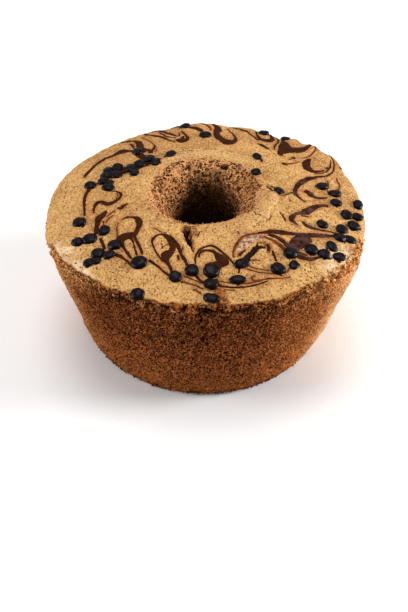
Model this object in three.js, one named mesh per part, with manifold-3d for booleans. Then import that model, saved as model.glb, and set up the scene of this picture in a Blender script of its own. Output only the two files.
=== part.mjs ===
// Chocolate chip chiffon cake, baked in a tube tin. Millimetres, +Z up, front towards -Y,
// the middle of the flat underside at the origin. Angles run from +X, counter-clockwise.
import * as THREE from 'three';
import { mergeVertices } from 'three/addons/utils/BufferGeometryUtils.js';
import Module from 'manifold-3d';

// Driving sizes
const rimRadius = 100;        // the round top, 200 across
const baseRadius = 86;        // the flat underside, 172 across
const rimHeight = 90;         // from the underside to the rim
const crownRise = 7;          // how far the top swells above the rim
const crownSpan = 65;         // width of the band that rises from the rim
const tubeRadius = 21;        // the straight part of the hole
const mouthRadius = 41;       // where the baked skin stops at the hole
const mouthDepth = 34;        // how deep the hole keeps narrowing
const footRadius = 2;         // rounding of the lower edge
const rimRounding = 4;        // rounding of the upper edge
const riseToRight = 1.7;      // the rim stands this much higher at the right
const dropToBack = 2;         // and this much lower at the back
const skinThickness = 1.6;    // the baked skin, seen at its torn front edge
const tornGap = 2.4;          // depth of the gap under the torn edge
const chipRadius = 4.1;
const chipHeight = 2.4;       // of a chip above the skin
const chipSunk = 1.2;         // and below it
const chipSides = 8;
const segments = 80;          // steps round the cake
const skinWaves = 0.5;        // depth of the broad dimples in the skin
const sideCrumb = 0.75;       // depth of the open crumb on the side
const holeCrumb = 1.1;        // and in the hole
const tornRagged = 1.1;       // how far the torn edge wanders in and out

const degrees = Math.PI / 180;
const wasm = await Module();
wasm.setup();

// 0 below `low`, 1 above `high`, with a soft start and end
function smooth(low, high, value) {
  const t = Math.min(1, Math.max(0, (value - low) / (high - low)));
  return t * t * (3 - 2 * t);
}

// 1 at the centre angle, 0 beyond the half width, all in degrees
function bell(angle, centre, halfWidth) {
  const away = Math.abs(((angle - centre + 540) % 360) - 180) / halfWidth;
  return away >= 1 ? 0 : 0.5 + 0.5 * Math.cos(Math.PI * away);
}

// a fixed value between -1 and 1 for each corner of a unit grid
function lattice(ix, iy, iz) {
  let h = Math.imul(ix, 374761393) + Math.imul(iy, 668265263) + Math.imul(iz, 974634777);
  h = Math.imul(h ^ (h >>> 13), 1274126177);
  return ((h ^ (h >>> 16)) >>> 0) / 2147483647.5 - 1;
}

// smooth bumps between -1 and 1, about one every `size` millimetres
function lumps(x, y, z, size) {
  const [px, py, pz] = [x / size, y / size, z / size];
  const [ix, iy, iz] = [Math.floor(px), Math.floor(py), Math.floor(pz)];
  const [fx, fy, fz] = [px - ix, py - iy, pz - iz].map((f) => f * f * (3 - 2 * f));
  const along = (dy, dz) => lattice(ix, iy + dy, iz + dz) * (1 - fx) +
    lattice(ix + 1, iy + dy, iz + dz) * fx;
  const across = (dz) => along(0, dz) * (1 - fy) + along(1, dz) * fy;
  return across(0) * (1 - fz) + across(1) * fz;
}

// Where the rim bulges or falls short of a circle: angle, half width, outwards, upwards
const rimBulges = [
  [135, 38, -1.6, 0],
  [93, 19, 0.6, 2],
  [73, 8, 1.2, 0.8],
  [57, 7, -2, -1],
  [49, 5, 2, 1.4],
  [41, 7, 3.4, 1.6],
  [30, 12, 4, 1.2],
  [-38, 27, 3.2, 0],
  [-66, 13, 1.6, 0],
  [-90, 30, -2.6, -1.8],
  [-146, 28, 3.2, 0],
];

function rimOut(angle) {
  return rimBulges.reduce((sum, [at, wide, out]) => sum + out * bell(angle, at, wide), 0);
}

function rimUp(angle) {
  return rimBulges.reduce((sum, [at, wide, , up]) => sum + up * bell(angle, at, wide), 0);
}

// The skin is torn along the front and the right, and curls over the edge elsewhere
function tornEdge(angle) {
  return Math.max(bell(angle, -90, 62) ** 0.5, 0.35 * bell(angle, -36, 30));
}

// The side is fuller under the rim at the front right
function sideOut(angle, up) {
  return 3 * bell(angle, -34, 42) * smooth(0, 0.25, up) * (1 - smooth(0.9, 1, up));
}

function crown(radius) {
  const t = Math.min(1, Math.max(0, (rimRadius - radius) / crownSpan));
  return crownRise * (1 - (1 - t) ** 2.2);
}

function topHeight(x, y) {
  const radius = Math.hypot(x, y);
  const angle = Math.atan2(y, x) / degrees;
  const slope = (riseToRight * x - dropToBack * y) / rimRadius;
  return rimHeight + crown(radius) + slope + rimUp(angle) * smooth(72, 96, radius) +
    skinWaves * (lumps(x, y, 3, 26) + 0.6 * lumps(x, y, 7, 11));
}

// The section that is turned round the axis, as one closed line
function section() {
  const line = [];
  const add = (radius, height) => line.push(new THREE.Vector2(radius, height));
  const mouthTop = rimHeight + crownRise;

  // up the wall of the hole, slightly wider at the foot, then out to the mouth
  add(tubeRadius + 3.5, 0);
  for (const height of [1.5, 19, 37, 54]) {
    add(tubeRadius + 2 * (1 - height / 54), height);
  }
  for (let step = 1; step <= 7; step += 1) {
    const turn = (step / 7) * 90 * degrees;
    add(
      mouthRadius - (mouthRadius - tubeRadius) * Math.cos(turn) ** 0.92,
      mouthTop - mouthDepth * (1 - Math.sin(turn)),
    );
  }
  // out over the top to the rim
  for (const radius of [48, 56, 64, 72, 80, 87, 93]) {
    add(radius, rimHeight + crown(radius));
  }
  for (const turn of [20, 50, 80]) {
    add(
      rimRadius - rimRounding * (1 - Math.sin(turn * degrees)),
      rimHeight - rimRounding * (1 - Math.cos(turn * degrees)) + 0.9,
    );
  }
  // down the side, which leans in towards the foot
  const side = (height) => baseRadius + (rimRadius - baseRadius) * (height / rimHeight) ** 0.85;
  for (const height of [86, 81, 71, 60, 49, 38, 27, 17, 8, footRadius]) {
    add(side(height), height);
  }
  add(baseRadius - footRadius * 0.3, footRadius * 0.3);
  add(baseRadius - footRadius, 0);
  line.push(line[0].clone());
  return line.reverse();
}

// A point of the turned section, moved to the uneven form of a baked cake
function shapeVertex(point) {
  const radius = Math.hypot(point.x, point.y);
  const direction = Math.atan2(point.y, point.x);
  const angle = direction / degrees;
  const [ux, uy] = [Math.cos(direction), Math.sin(direction)];
  const height = point.z;
  if (height < 0.01) {
    return point;
  }

  const up = height / rimHeight;
  const outer = smooth(60, rimRadius, radius);
  const onTop = height > rimHeight - 0.5 && radius > mouthRadius - 1;
  let out = rimOut(angle) * outer * smooth(0.05, 1, up);
  let lift = 0;

  if (onTop) {
    lift = topHeight(point.x, point.y) - rimHeight - crown(radius);
  } else {
    const slope = (riseToRight * point.x - dropToBack * point.y) / rimRadius;
    lift = (slope + rimUp(angle) * outer) * smooth(0.3, 1, up);
    // open crumb, coarser in the hole
    const coarse = radius < mouthRadius ? holeCrumb : sideCrumb;
    out += coarse * smooth(0, 4, height) * lumps(point.x, point.y, height, 8);
    out += coarse * 0.6 * smooth(0, 4, height) * lumps(point.x + 40, point.y, height, 17);
    out += sideOut(angle, up) * outer;
  }
  // the gap just under the torn edge, and the ragged edge itself
  if (radius > 92) {
    const torn = tornEdge(angle);
    const gap = smooth(skinThickness, skinThickness + 2, rimHeight - height) *
      (1 - smooth(5, 13, rimHeight - height));
    out -= tornGap * torn * gap;
    if (height > rimHeight - 3) {
      out += torn * (0.6 + tornRagged * lumps(ux * 60, uy * 60, 2, 5));
    }
  }
  return new THREE.Vector3(point.x + ux * out, point.y + uy * out, height + lift);
}

function makeBody() {
  const geometry = new THREE.LatheGeometry(section(), segments);
  geometry.rotateX(Math.PI / 2);
  geometry.deleteAttribute('normal');
  geometry.deleteAttribute('uv');
  const merged = mergeVertices(geometry, 1e-3);
  const position = merged.attributes.position;
  const point = new THREE.Vector3();
  for (let index = 0; index < position.count; index += 1) {
    point.fromBufferAttribute(position, index);
    const moved = shapeVertex(point);
    position.setXYZ(index, moved.x, moved.y, moved.z);
  }
  return merged;
}

// The chips, by group: x, y, size, stretch, turn of the stretch in degrees
const chipGroups = {
  heap: [
    [-47.5, 50.5, 1, 1.2, 95], [-38.7, 40, 1.05, 1.2, 90], [-34, 34.5, 0.9], [-44.5, 32.5, 1.05],
    [-49.7, 27.5, 1.05, 1.2, 80], [-47, 21.5, 0.85], [-59, 29.5, 1, 1.15, 95],
    [-58.5, 20, 1, 1.1, 80], [-65.5, 27, 0.9, 1.2, 90], [-65.5, 19.5, 1], [-66.5, 13, 0.95],
    [-62.3, 10, 0.8], [-62.2, 4.5, 0.9, 1.2, 0], [-74.3, 8.3, 1],
  ],
  leftFront: [
    [-75, -30, 1.05], [-59, -39.5, 0.95, 1.15, 60], [-66.5, -46, 1.1], [-73.5, -47.3, 0.95],
    [-51.5, -52, 1.02], [-60, -58.4, 1], [-53.5, -60, 0.85], [-64.5, -65, 0.8],
    [-60, -64.3, 0.7],
  ],
  front: [
    [-36, -67.6, 1.15], [-15.5, -78.4, 0.88], [-35, -89.3, 0.98], [-6.5, -74, 0.98],
    [4.3, -74.5, 1.14], [3.8, -82.8, 0.9, 1.1, 0], [4.2, -91.4, 0.92, 1.25, -20],
    [18.2, -79.3, 0.85, 1.4, 0], [21, -68, 0.95, 1.2, 40],
  ],
  rightFront: [
    [40.7, -70.5, 1.05], [48.6, -58.6, 1.06], [49.7, -67, 0.75, 1.2, 70], [60.5, -54.5, 1.05],
    [67.6, -57.4, 0.97], [73, -50.6, 0.9, 1.2, 110], [76.3, -58, 0.92], [79, -41.2, 1.02],
    [85.2, -41.5, 0.95], [81.5, -33.2, 1.02], [70, -30.5, 0.9], [86.5, -18, 1, 1.15, 95],
    [89.5, -27.7, 1.05], [93, -18.5, 0.95], [96, -5, 0.9, 1.3, 80],
  ],
  right: [
    [82, 3, 1, 1.15, 30], [81.5, -7, 0.95], [75, 10, 1.02], [46, 2, 0.8, 1.25, 100],
    [32.8, 22.5, 0.85],
  ],
  back: [
    [34.5, 43, 0.8, 1.2, 110], [42, 85.5, 0.95], [57.5, 77.5, 0.9], [-1, 75.5, 1.1],
    [-16.5, 92.5, 1], [-24.5, 45, 0.95, 1.2, 70],
  ],
};

// One chip: a round foot below the skin, a domed body and a blunt tip
function makeChip(size, stretch) {
  const radius = chipRadius * size;
  const height = chipHeight * size;
  const profile = [
    new THREE.Vector2(0, -chipSunk),
    new THREE.Vector2(radius * 0.86, -chipSunk),
    new THREE.Vector2(radius, height * 0.12),
    new THREE.Vector2(radius * 0.76, height * 0.7),
    new THREE.Vector2(0, height),
  ];
  const chip = new THREE.LatheGeometry(profile, chipSides);
  chip.rotateX(Math.PI / 2);
  chip.scale(stretch, 1 / Math.sqrt(stretch), 1);
  return chip;
}

// A chip stands square to the skin where it lies
function placeChip(x, y, size = 1, stretch = 1, turn = 0) {
  const reach = 3;
  const along = new THREE.Vector3(2 * reach, 0, topHeight(x + reach, y) - topHeight(x - reach, y));
  const across = new THREE.Vector3(0, 2 * reach, topHeight(x, y + reach) - topHeight(x, y - reach));
  const normal = along.cross(across).normalize();
  const chip = makeChip(size, stretch);
  chip.rotateZ(turn * degrees);
  const lean = new THREE.Quaternion().setFromUnitVectors(new THREE.Vector3(0, 0, 1), normal);
  chip.applyQuaternion(lean);
  chip.translate(x, y, topHeight(x, y));
  return chip;
}

// The gash in front of the hole: a wedge, widest in the middle, cut out of the skin
const gash = { from: [-10.2, -37], to: [-6.4, -60], width: 4.2, depth: 7, floor: 0.3 };

function makeGash() {
  const [x0, y0] = gash.from;
  const [x1, y1] = gash.to;
  const long = Math.hypot(x1 - x0, y1 - y0);
  const outline = new THREE.Shape();
  outline.moveTo(0, 0);
  outline.lineTo(long * 0.35, -gash.width / 2);
  outline.lineTo(long * 0.7, -gash.width * 0.3);
  outline.lineTo(long, 0);
  outline.lineTo(long * 0.7, gash.width * 0.3);
  outline.lineTo(long * 0.35, gash.width / 2);
  const wedge = new THREE.ExtrudeGeometry(outline, { depth: 3 * gash.depth, bevelEnabled: false });
  const position = wedge.attributes.position;
  for (let index = 0; index < position.count; index += 1) {
    if (position.getZ(index) < gash.depth) {
      position.setY(index, position.getY(index) * gash.floor);
    }
  }
  wedge.rotateZ(Math.atan2(y1 - y0, x1 - x0));
  wedge.translate(x0, y0, topHeight(x0, y0) - gash.depth);
  return wedge;
}

// Joining and cutting
function toSolid(geometry) {
  geometry.deleteAttribute('normal');
  geometry.deleteAttribute('uv');
  const merged = mergeVertices(geometry, 1e-3);
  return new wasm.Manifold(new wasm.Mesh({
    numProp: 3,
    vertProperties: new Float32Array(merged.attributes.position.array),
    triVerts: new Uint32Array(merged.index.array),
  }));
}

let cake = toSolid(makeBody());
cake = cake.subtract(toSolid(makeGash()));
for (const group of Object.values(chipGroups)) {
  for (const chip of group) {
    cake = cake.add(toSolid(placeChip(...chip)));
  }
}

const mesh = cake.getMesh();
const shape = new THREE.BufferGeometry();
shape.setAttribute('position', new THREE.BufferAttribute(mesh.vertProperties, 3));
shape.setIndex(new THREE.BufferAttribute(mesh.triVerts, 1));
shape.computeVertexNormals();

const crust = new THREE.MeshStandardMaterial({ color: 0xd2a05c, roughness: 0.75, metalness: 0 });
const cakeMesh = new THREE.Mesh(shape, crust);
cakeMesh.name = 'cake';

const object = new THREE.Group();
object.add(cakeMesh);

export default object;
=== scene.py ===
import math

import bpy
import numpy as np
from mathutils import Matrix, Vector, kdtree


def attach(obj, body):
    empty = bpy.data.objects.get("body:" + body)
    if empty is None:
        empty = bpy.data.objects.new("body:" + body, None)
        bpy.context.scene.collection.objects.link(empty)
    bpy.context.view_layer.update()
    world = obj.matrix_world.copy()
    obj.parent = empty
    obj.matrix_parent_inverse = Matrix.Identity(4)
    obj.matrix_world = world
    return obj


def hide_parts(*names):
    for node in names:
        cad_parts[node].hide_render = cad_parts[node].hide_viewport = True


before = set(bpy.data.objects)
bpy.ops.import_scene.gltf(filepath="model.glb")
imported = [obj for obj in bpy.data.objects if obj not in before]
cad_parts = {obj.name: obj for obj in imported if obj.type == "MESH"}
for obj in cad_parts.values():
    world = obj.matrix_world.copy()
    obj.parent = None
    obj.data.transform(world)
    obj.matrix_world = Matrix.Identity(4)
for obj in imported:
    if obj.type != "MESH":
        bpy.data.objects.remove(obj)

scene = bpy.context.scene
scene.view_settings.view_transform = "Standard"
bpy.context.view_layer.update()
mm = 0.001


# Camera and light
cameraSetup = {
    "place": (0.000497, -0.317635, 0.314774),
    "pitch": 0.78959,  # below the horizon, in radians
    "roll": -0.020586,
    "lens": 35.294,
    "sensor": 36.0,
}
lightSetup = {
    "sky": 0.38,
    "aim": (0.0, 0.0, 0.06),
    # place, size and power of each lamp
    "keyLamp": ((-0.05, 0.2, 1.35), 0.7, 7.5),
    "sideLamp": ((2.4, 0.2, 0.75), 1.0, 84.0),
    "fillLamp": ((-2.3, -0.1, 0.75), 1.2, 42.0),
}


def placeCamera(setup):
    pitch, roll = setup["pitch"], setup["roll"]
    right = np.array([1.0, 0.0, 0.0])
    up = np.array([0.0, math.sin(pitch), math.cos(pitch)])
    forward = np.array([0.0, math.cos(pitch), -math.sin(pitch)])
    across = math.cos(roll) * right - math.sin(roll) * up
    upright = math.sin(roll) * right + math.cos(roll) * up
    turn = Matrix(np.column_stack([across, upright, -forward]).tolist())
    data = bpy.data.cameras.new("camera")
    data.lens = setup["lens"]
    data.sensor_width = setup["sensor"]
    data.clip_start = 0.01
    camera = bpy.data.objects.new("camera", data)
    camera.matrix_world = Matrix.Translation(setup["place"]) @ turn.to_4x4()
    scene.collection.objects.link(camera)
    scene.camera = camera


def softLamp(name, place, size, power):
    data = bpy.data.lights.new(name, "AREA")
    data.shape = "DISK"
    data.size = size
    data.energy = power
    lamp = bpy.data.objects.new(name, data)
    aim = (Vector(lightSetup["aim"]) - Vector(place)).to_track_quat("-Z", "Y").to_matrix()
    lamp.matrix_world = Matrix.Translation(place) @ aim.to_4x4()
    scene.collection.objects.link(lamp)


placeCamera(cameraSetup)
for lampName in ("keyLamp", "sideLamp", "fillLamp"):
    softLamp(lampName, *lightSetup[lampName])
world = bpy.data.worlds.new("softSky")
world.use_nodes = True
sky = world.node_tree.nodes["Background"].inputs
sky["Color"].default_value = (1, 1, 1, 1)
sky["Strength"].default_value = lightSetup["sky"]
scene.world = world
print("camera and light are set")


# Nodes written as sums: a Wire is a node's output
class Wire:
    def __init__(self, tree, socket=None):
        self.tree = tree
        self.socket = socket

    # adds a node: its settings first, then values or links for its sockets
    def node(self, kind, settings=None, sockets=None, out=0):
        made = self.tree.nodes.new(kind)
        for name, value in (settings or {}).items():
            setattr(made, name, value)
        for key, value in (sockets or {}).items():
            if isinstance(value, Wire):
                self.tree.links.new(value.socket, made.inputs[key])
            else:
                made.inputs[key].default_value = value
        return Wire(self.tree, made.outputs[out] if made.outputs else None)

    def other(self, name):
        return Wire(self.tree, self.socket.node.outputs[name])

    def joined(self, operation, first, second):
        pair = [first, second]
        kind = "ShaderNodeMath"
        if any(isinstance(part, Wire) and part.socket.type in ("VECTOR", "RGBA") for part in pair):
            pair = [part if isinstance(part, (Wire, tuple)) else (part,) * 3 for part in pair]
            kind = "ShaderNodeVectorMath"
        return self.node(kind, {"operation": operation}, {0: pair[0], 1: pair[1]})

    def __add__(self, value):
        return self.joined("ADD", self, value)

    def __radd__(self, value):
        return self.joined("ADD", value, self)

    def __sub__(self, value):
        return self.joined("SUBTRACT", self, value)

    def __rsub__(self, value):
        return self.joined("SUBTRACT", value, self)

    def __mul__(self, value):
        return self.joined("MULTIPLY", self, value)

    def __rmul__(self, value):
        return self.joined("MULTIPLY", value, self)

    def __truediv__(self, value):
        return self.joined("DIVIDE", self, value)

    def most(self, value):
        return self.joined("MAXIMUM", self, value)

    def least(self, value):
        return self.joined("MINIMUM", self, value)

    # 0 at low, 1 at high, soft at both ends
    def between(self, low, high):
        settings = {"interpolation_type": "SMOOTHSTEP"}
        return self.node("ShaderNodeMapRange", settings, {0: self, 1: low, 2: high})

    # base where this is 0, top where it is 1
    def blend(self, base, top):
        sockets = {0: self, 6: base, 7: top}
        return self.node("ShaderNodeMix", {"data_type": "RGBA"}, sockets, out=2)

    # cloudy values about 0.5, with spots about `size` millimetres
    def clouds(self, size, detail, roughness=0.5):
        sockets = {"Vector": self, "Scale": 1 / (size * mm), "Detail": detail}
        return self.node("ShaderNodeTexNoise", None, {**sockets, "Roughness": roughness})

    # cloudy shifts about 0 in all three directions, with `often` spots to a metre
    def stir(self, often, detail=2.0):
        sockets = {"Vector": self, "Scale": often, "Detail": detail}
        return self.node("ShaderNodeTexNoise", None, sockets, out="Color") - 0.5

    # distance to the middle of the nearest cell, where cells are `size` millimetres apart
    def cells(self, size):
        return self.node("ShaderNodeTexVoronoi", None, {"Vector": self, "Scale": 1 / (size * mm)})

    # a random number for each of those cells
    def chance(self):
        return self.other("Color").parts()[0]

    def parts(self):
        split = self.node("ShaderNodeSeparateXYZ", None, {0: self})
        return split, split.other("Y"), split.other("Z")


# Colours are given as screen values
def paint(red, green, blue):
    def linear(value):
        value /= 255
        return value / 12.92 if value <= 0.04045 else ((value + 0.055) / 1.055) ** 2.4
    return (linear(red), linear(green), linear(blue), 1)


def finish(name, build):
    material = bpy.data.materials.new(name)
    material.use_nodes = True
    material.node_tree.nodes.clear()
    start = Wire(material.node_tree)
    place = start.node("ShaderNodeTexCoord", out="Object")
    start.node("ShaderNodeOutputMaterial", None, {"Surface": build(start, place)})
    return material


def carried(start, name):
    return start.node("ShaderNodeAttribute", {"attribute_name": name}, out="Fac")


# A plain surface with relief `depth` millimetres deep
def sheen(start, colour, roughness, height, depth, strength, specular, tint=(1, 1, 1, 1)):
    relief = {"Strength": strength, "Distance": depth * mm, "Height": height}
    sockets = {
        "Base Color": colour,
        "Roughness": roughness,
        "Specular IOR Level": specular,
        "Specular Tint": tint,
        "Normal": start.node("ShaderNodeBump", None, relief),
    }
    return start.node("ShaderNodeBsdfPrincipled", None, sockets)


skinLook = {
    "golden": paint(205, 157, 92),
    "tan": paint(176, 126, 68),
    "browned": paint(140, 84, 36),
    "rim": paint(176, 104, 46),
    "peach": paint(204, 146, 96),
    "pale": paint(226, 188, 136),
    "patch": paint(242, 214, 180),
    "stain": paint(150, 88, 44),
    "pore": paint(74, 30, 8),
    "smearRed": paint(104, 56, 42),
    "smearPale": paint(216, 180, 148),
    # painted shade in creases, cuts and broken skin, and deeper in the torn-open gap
    "shadedInside": paint(50, 22, 9),
    "gap": paint(26, 9, 4),
    "collar": paint(222, 182, 124),
    # centre and reach of each
    "palePatches": [
        ((-0.084, -0.056, 0.092), 0.016),
        ((-0.07, -0.072, 0.092), 0.014),
        ((0.079, -0.062, 0.094), 0.02),
    ],
    # sizes and spacing in millimetres
    "broadSize": 34,
    "mottleSize": 9,
    "speckSize": 1.8,
    "fineSize": 1.0,
    "poreSpacing": 1.6,
    "poreStir": 0.9,
    "holeSpacing": 1.5,
    "reliefSize": 2.4,
    "reliefDepth": 0.5,
}


# Golden to tan in broad clouds, tan towards the back, with browned mottling and small specks
def skinGround(start, place, grain):
    look = skinLook
    y = place.parts()[1]
    broad = (place.clouds(look["broadSize"], 3) + y).between(0.36, 0.7)
    colour = broad.blend(look["golden"], look["tan"])
    mottle = place.clouds(look["mottleSize"], 4, 0.6).between(0.4, 0.75)
    colour = (mottle * 0.35).blend(colour, look["browned"])
    specks = grain.clouds(look["speckSize"], 3, 0.7)
    colour = (specks.between(0.52, 0.66) * 0.5).blend(colour, look["browned"])
    colour = (carried(start, "collar") * 0.4).blend(colour, look["collar"])
    return (specks.between(0.48, 0.34) * 0.35).blend(colour, look["pale"])


# Pale patches, the hole's peach edge, broken skin, smears, the rim's band and stains
def skinMarks(start, place, colour):
    look = skinLook
    for centre, reach in look["palePatches"]:
        settings = {"operation": "DISTANCE"}
        away = place.node("ShaderNodeVectorMath", settings, {0: place, 1: centre}, out="Value")
        patch = away.between(reach, reach * 0.35) * place.clouds(5, 3, 0.6).between(0.35, 0.6)
        colour = (patch * 0.7).blend(colour, look["patch"])
    colour = (carried(start, "mouth") * 0.65).blend(colour, look["peach"])
    # broken skin: the rim's orange mottled with painted shade
    rough = place.clouds(1.5, 3, 0.7).between(0.46, 0.56).blend(look["rim"], look["shadedInside"])
    colour = (carried(start, "torn") * 0.85).blend(colour, rough)
    marbled = place.clouds(3.0, 4, 0.65)
    streaks = marbled.between(0.4, 0.64).blend(look["smearRed"], look["smearPale"])
    smear = carried(start, "smear") * place.clouds(4, 2).between(0.2, 0.5)
    colour = smear.blend(colour, streaks)
    rim = carried(start, "rim") * place.clouds(7, 3).between(0.2, 0.6)
    colour = rim.blend(colour, look["rim"])
    stain = carried(start, "stain") * place.clouds(3.5, 3).between(0.3, 0.62)
    return stain.blend(colour, look["stain"])


# Pin pores, some larger than others and more of them in places, and holes in broken skin
def skinPores(start, place):
    look = skinLook
    x, y = place.parts()[:2]
    stirred = place + place.stir(900.0, 1.0) * (look["poreStir"] * mm)
    cell = stirred.cells(look["poreSpacing"])
    chance = cell.chance()
    some = chance + place.clouds(16, 2) * 2 - y + (x + 0.045).least(0) * 6
    pores = (cell + (1 - chance) * 0.22).between(0.42, 0.2) * some.between(1.36, 1.6)
    holes = place.cells(look["holeSpacing"]).between(0.55, 0.2)
    holes = holes * place.clouds(2.2, 2).between(0.38, 0.6)
    return pores.most(holes * carried(start, "mouth").most(carried(start, "torn")))


def bakedSkin(start, place):
    look = skinLook
    # specks are longer from front to back than across
    grain = place * (1, 0.65, 1)
    fine = grain.clouds(look["fineSize"], 3, 0.7)
    colour = skinGround(start, place, grain)
    colour = (fine.between(0.5, 0.68) * 0.6).blend(colour, look["pale"])
    colour = (fine.between(0.49, 0.33) * 0.8).blend(colour, look["browned"])
    colour = skinMarks(start, place, colour)
    dark = skinPores(start, place)
    colour = (dark * 0.95).blend(colour, look["pore"])
    # painted shade in the gash, the creases and the torn-open gap
    depth = carried(start, "cut")
    cut = (depth + (place.clouds(1.6, 3, 0.6) - 0.5) * 1.2).between(0.38, 0.62)
    colour = (cut * depth.between(0.0, 0.15)).blend(colour, look["shadedInside"])
    colour = depth.between(0.8, 0.97).blend(colour, look["gap"])
    height = place.clouds(look["reliefSize"], 4, 0.65) * 0.6 + fine * 0.5 - dark * 1.4
    return sheen(start, colour, 0.66 + fine * 0.2, height, look["reliefDepth"], 0.7, 0.13)


crumbLook = {
    # the front's colours are darker than the flanks': painted shade on the front, painted light on the
    # flanks
    "frontRidge": paint(184, 108, 62),
    "frontBody": paint(96, 47, 22),
    "frontPore": paint(36, 9, 2),
    "flankRidge": paint(214, 142, 80),
    "flankBody": paint(166, 96, 47),
    "flankPore": paint(100, 50, 22),
    # painted light on the left and right flanks
    "leftPaintedLight": paint(232, 168, 106),
    "rightPaintedLight": paint(236, 192, 146),
    "holeRidge": paint(230, 172, 114),
    "holeBody": paint(184, 116, 64),
    "holePore": paint(56, 17, 3),
    # blotches, and painted shade on the hole's side walls
    "holeBlotchAndShade": paint(96, 50, 24),
    "holeLit": paint(226, 164, 108),
    "edgeLit": paint(216, 150, 92),
    # painted shade deep in the hole
    "holePaintedShade": paint(44, 24, 14),
    "band": paint(226, 158, 96),
    # painted shade under the rim, and painted light at the foot
    "upperPaintedShade": paint(82, 37, 17),
    "footPaintedLight": paint(170, 98, 52),
    "footDark": paint(74, 30, 15),
    # sizes and spacing in millimetres
    "grainSize": 0.95,
    "pinholeSpacing": 1.25,
    "cavitySpacing": 2.3,
    "cavityStir": 2.6,
    "reliefDepth": 0.9,
}


# Where a point lies: x, y, z, how far from the axis, in the hole or not, at the front or not
def crumbPlaces(place):
    x, y, z = place.parts()
    level = place * (1, 1, 0)
    radius = place.node("ShaderNodeVectorMath", {"operation": "LENGTH"}, {0: level}, out="Value")
    front = (0 - y / radius - x / radius * 0.19 + place.clouds(18, 2) * 0.3).between(0.49, 1.08)
    front = front * (1 - z.between(0.04, 0.008) * 0.12)
    return x, y, z, radius, radius.between(0.058, 0.05), front


# Painted shade under the rim and painted light at the foot, most of all at the front left: the
# shaded part and the colour out
def frontShades(place, places, colour):
    look = crumbLook
    x, y, z, radius, inHole, front = places
    outside = front * (1 - inHole)
    leftFront = (0 - x / radius).between(0.2, 0.55)
    upper = (z + place.clouds(14, 3) * 0.04).between(0.04, 0.1) * outside
    colour = (upper * (0.08 + 0.36 * leftFront)).blend(colour, look["upperPaintedShade"])
    low = z.between(0.048, 0.012) * outside
    return upper, (low * (0.26 + 0.4 * leftFront)).blend(colour, look["footPaintedLight"])


# Painted light: paler on both flanks, less so all the way round the back, and lit along the torn edge
def flankShades(place, places, colour, tone):
    look = crumbLook
    x, y, z, radius, inHole, front = places
    outside = 1 - inHole
    sideways = x * x / (radius * radius)
    behind = (y / radius).between(-0.1, 0.4)
    onRight = x.between(-0.07, 0.07)
    far = sideways.between(0.42, 0.84).most(behind * 0.5) * outside
    far = far * (z + onRight * 0.05).between(-0.01, 0.09)
    pale = onRight.blend(look["leftPaintedLight"], look["rightPaintedLight"])
    colour = (far * 0.9 * tone.between(0.24, 0.52)).blend(colour, pale)
    sparks = place.clouds(0.8, 2, 0.7).between(0.54, 0.66) * front * outside
    colour = (sparks * 0.6).blend(colour, look["frontRidge"])
    torn = sideways.between(0.25, 0.6) * z.between(0.074, 0.088) * outside
    return (torn * 0.6).blend(colour, look["edgeLit"])


# The hole's wall: blotches, painted light high up at the back, and painted shade to the left and right
def wallShades(place, places, colour):
    look = crumbLook
    x, y, z, radius, inHole, front = places
    blotch = place.clouds(8, 3).between(0.52, 0.68) * inHole
    colour = (blotch * 0.2).blend(colour, look["holeBlotchAndShade"])
    lit = z.between(0.082, 0.093) * y.between(0.012, 0.03) * inHole
    colour = (lit * 0.75).blend(colour, look["holeLit"])
    wall = (0 - x).between(0.016, 0.03) * 0.1 + x.between(0.016, 0.032) * 0.3
    return (wall * inHole).blend(colour, look["holeBlotchAndShade"])


# Pinholes, more of them higher up, and wider cavities in the hole and under the rim
def crumbPinholes(place, places, upper):
    look = crumbLook
    x, y, z, radius, inHole, front = places
    many = place.clouds(5, 2) + (z - 0.02) * 1.6 * (1 - inHole) - inHole * 0.06
    small = place.cells(look["pinholeSpacing"]).between(0.56, 0.26) * many.between(0.3, 0.52)
    stirred = place + place.stir(380.0) * (look["cavityStir"] * mm)
    wide = stirred.cells(look["cavitySpacing"]).between(0.5, 0.26)
    wide = wide * place.clouds(3.4, 2).between(0.38, 0.52) * inHole.most(upper * 0.55)
    return small.most(wide) * (0.55 + 0.45 * front.most(inHole))


def openCrumb(start, place):
    look = crumbLook
    places = crumbPlaces(place)
    x, y, z, radius, inHole, front = places
    # ridge, body and pore are darker at the front and paler on the flanks: painted shade and painted
    # light
    ridge, body, pore = (
        inHole.blend(front.blend(look["flank" + part], look["front" + part]), look["hole" + part])
        for part in ("Ridge", "Body", "Pore")
    )
    grain = place.clouds(look["grainSize"], 3, 0.65)
    tone = grain * 0.78 + place.clouds(5, 2) * 0.22
    colour = tone.between(0.45, 0.59).blend(body, ridge)
    upper, colour = frontShades(place, places, colour)
    colour = flankShades(place, places, colour, tone)
    foot = z.between(0.007, 0.002) * place.clouds(6, 2).between(0.4, 0.6)
    colour = foot.blend(colour, look["footDark"])
    band = carried(start, "band") * place.clouds(2.6, 3).between(0.42, 0.58)
    colour = wallShades(place, places, band.blend(colour, look["band"]))
    pinholes = crumbPinholes(place, places, upper)
    # the pits, cavities and pinholes are painted darker: painted shade in them
    dark = (carried(start, "pit") * 0.85).most(pinholes)
    colour = dark.least(1).blend(colour, pore)
    # painted shade in the hole: it starts high up at the back left, and only far down the left wall
    depth = z + place.clouds(5, 3) * 0.034
    depth = depth + (0 - x - 0.01).most(0) * 2.2 + (x - 0.01).most(0) * 0.7
    deep = depth.between(0.115, 0.094) * inHole
    colour = (deep * 0.94).blend(colour, look["holePaintedShade"])
    height = grain + place.clouds(2.4, 2) * 0.5 - pinholes * 1.3
    return sheen(start, colour, 0.9, height, look["reliefDepth"], 0.9, 0.0)


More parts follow.
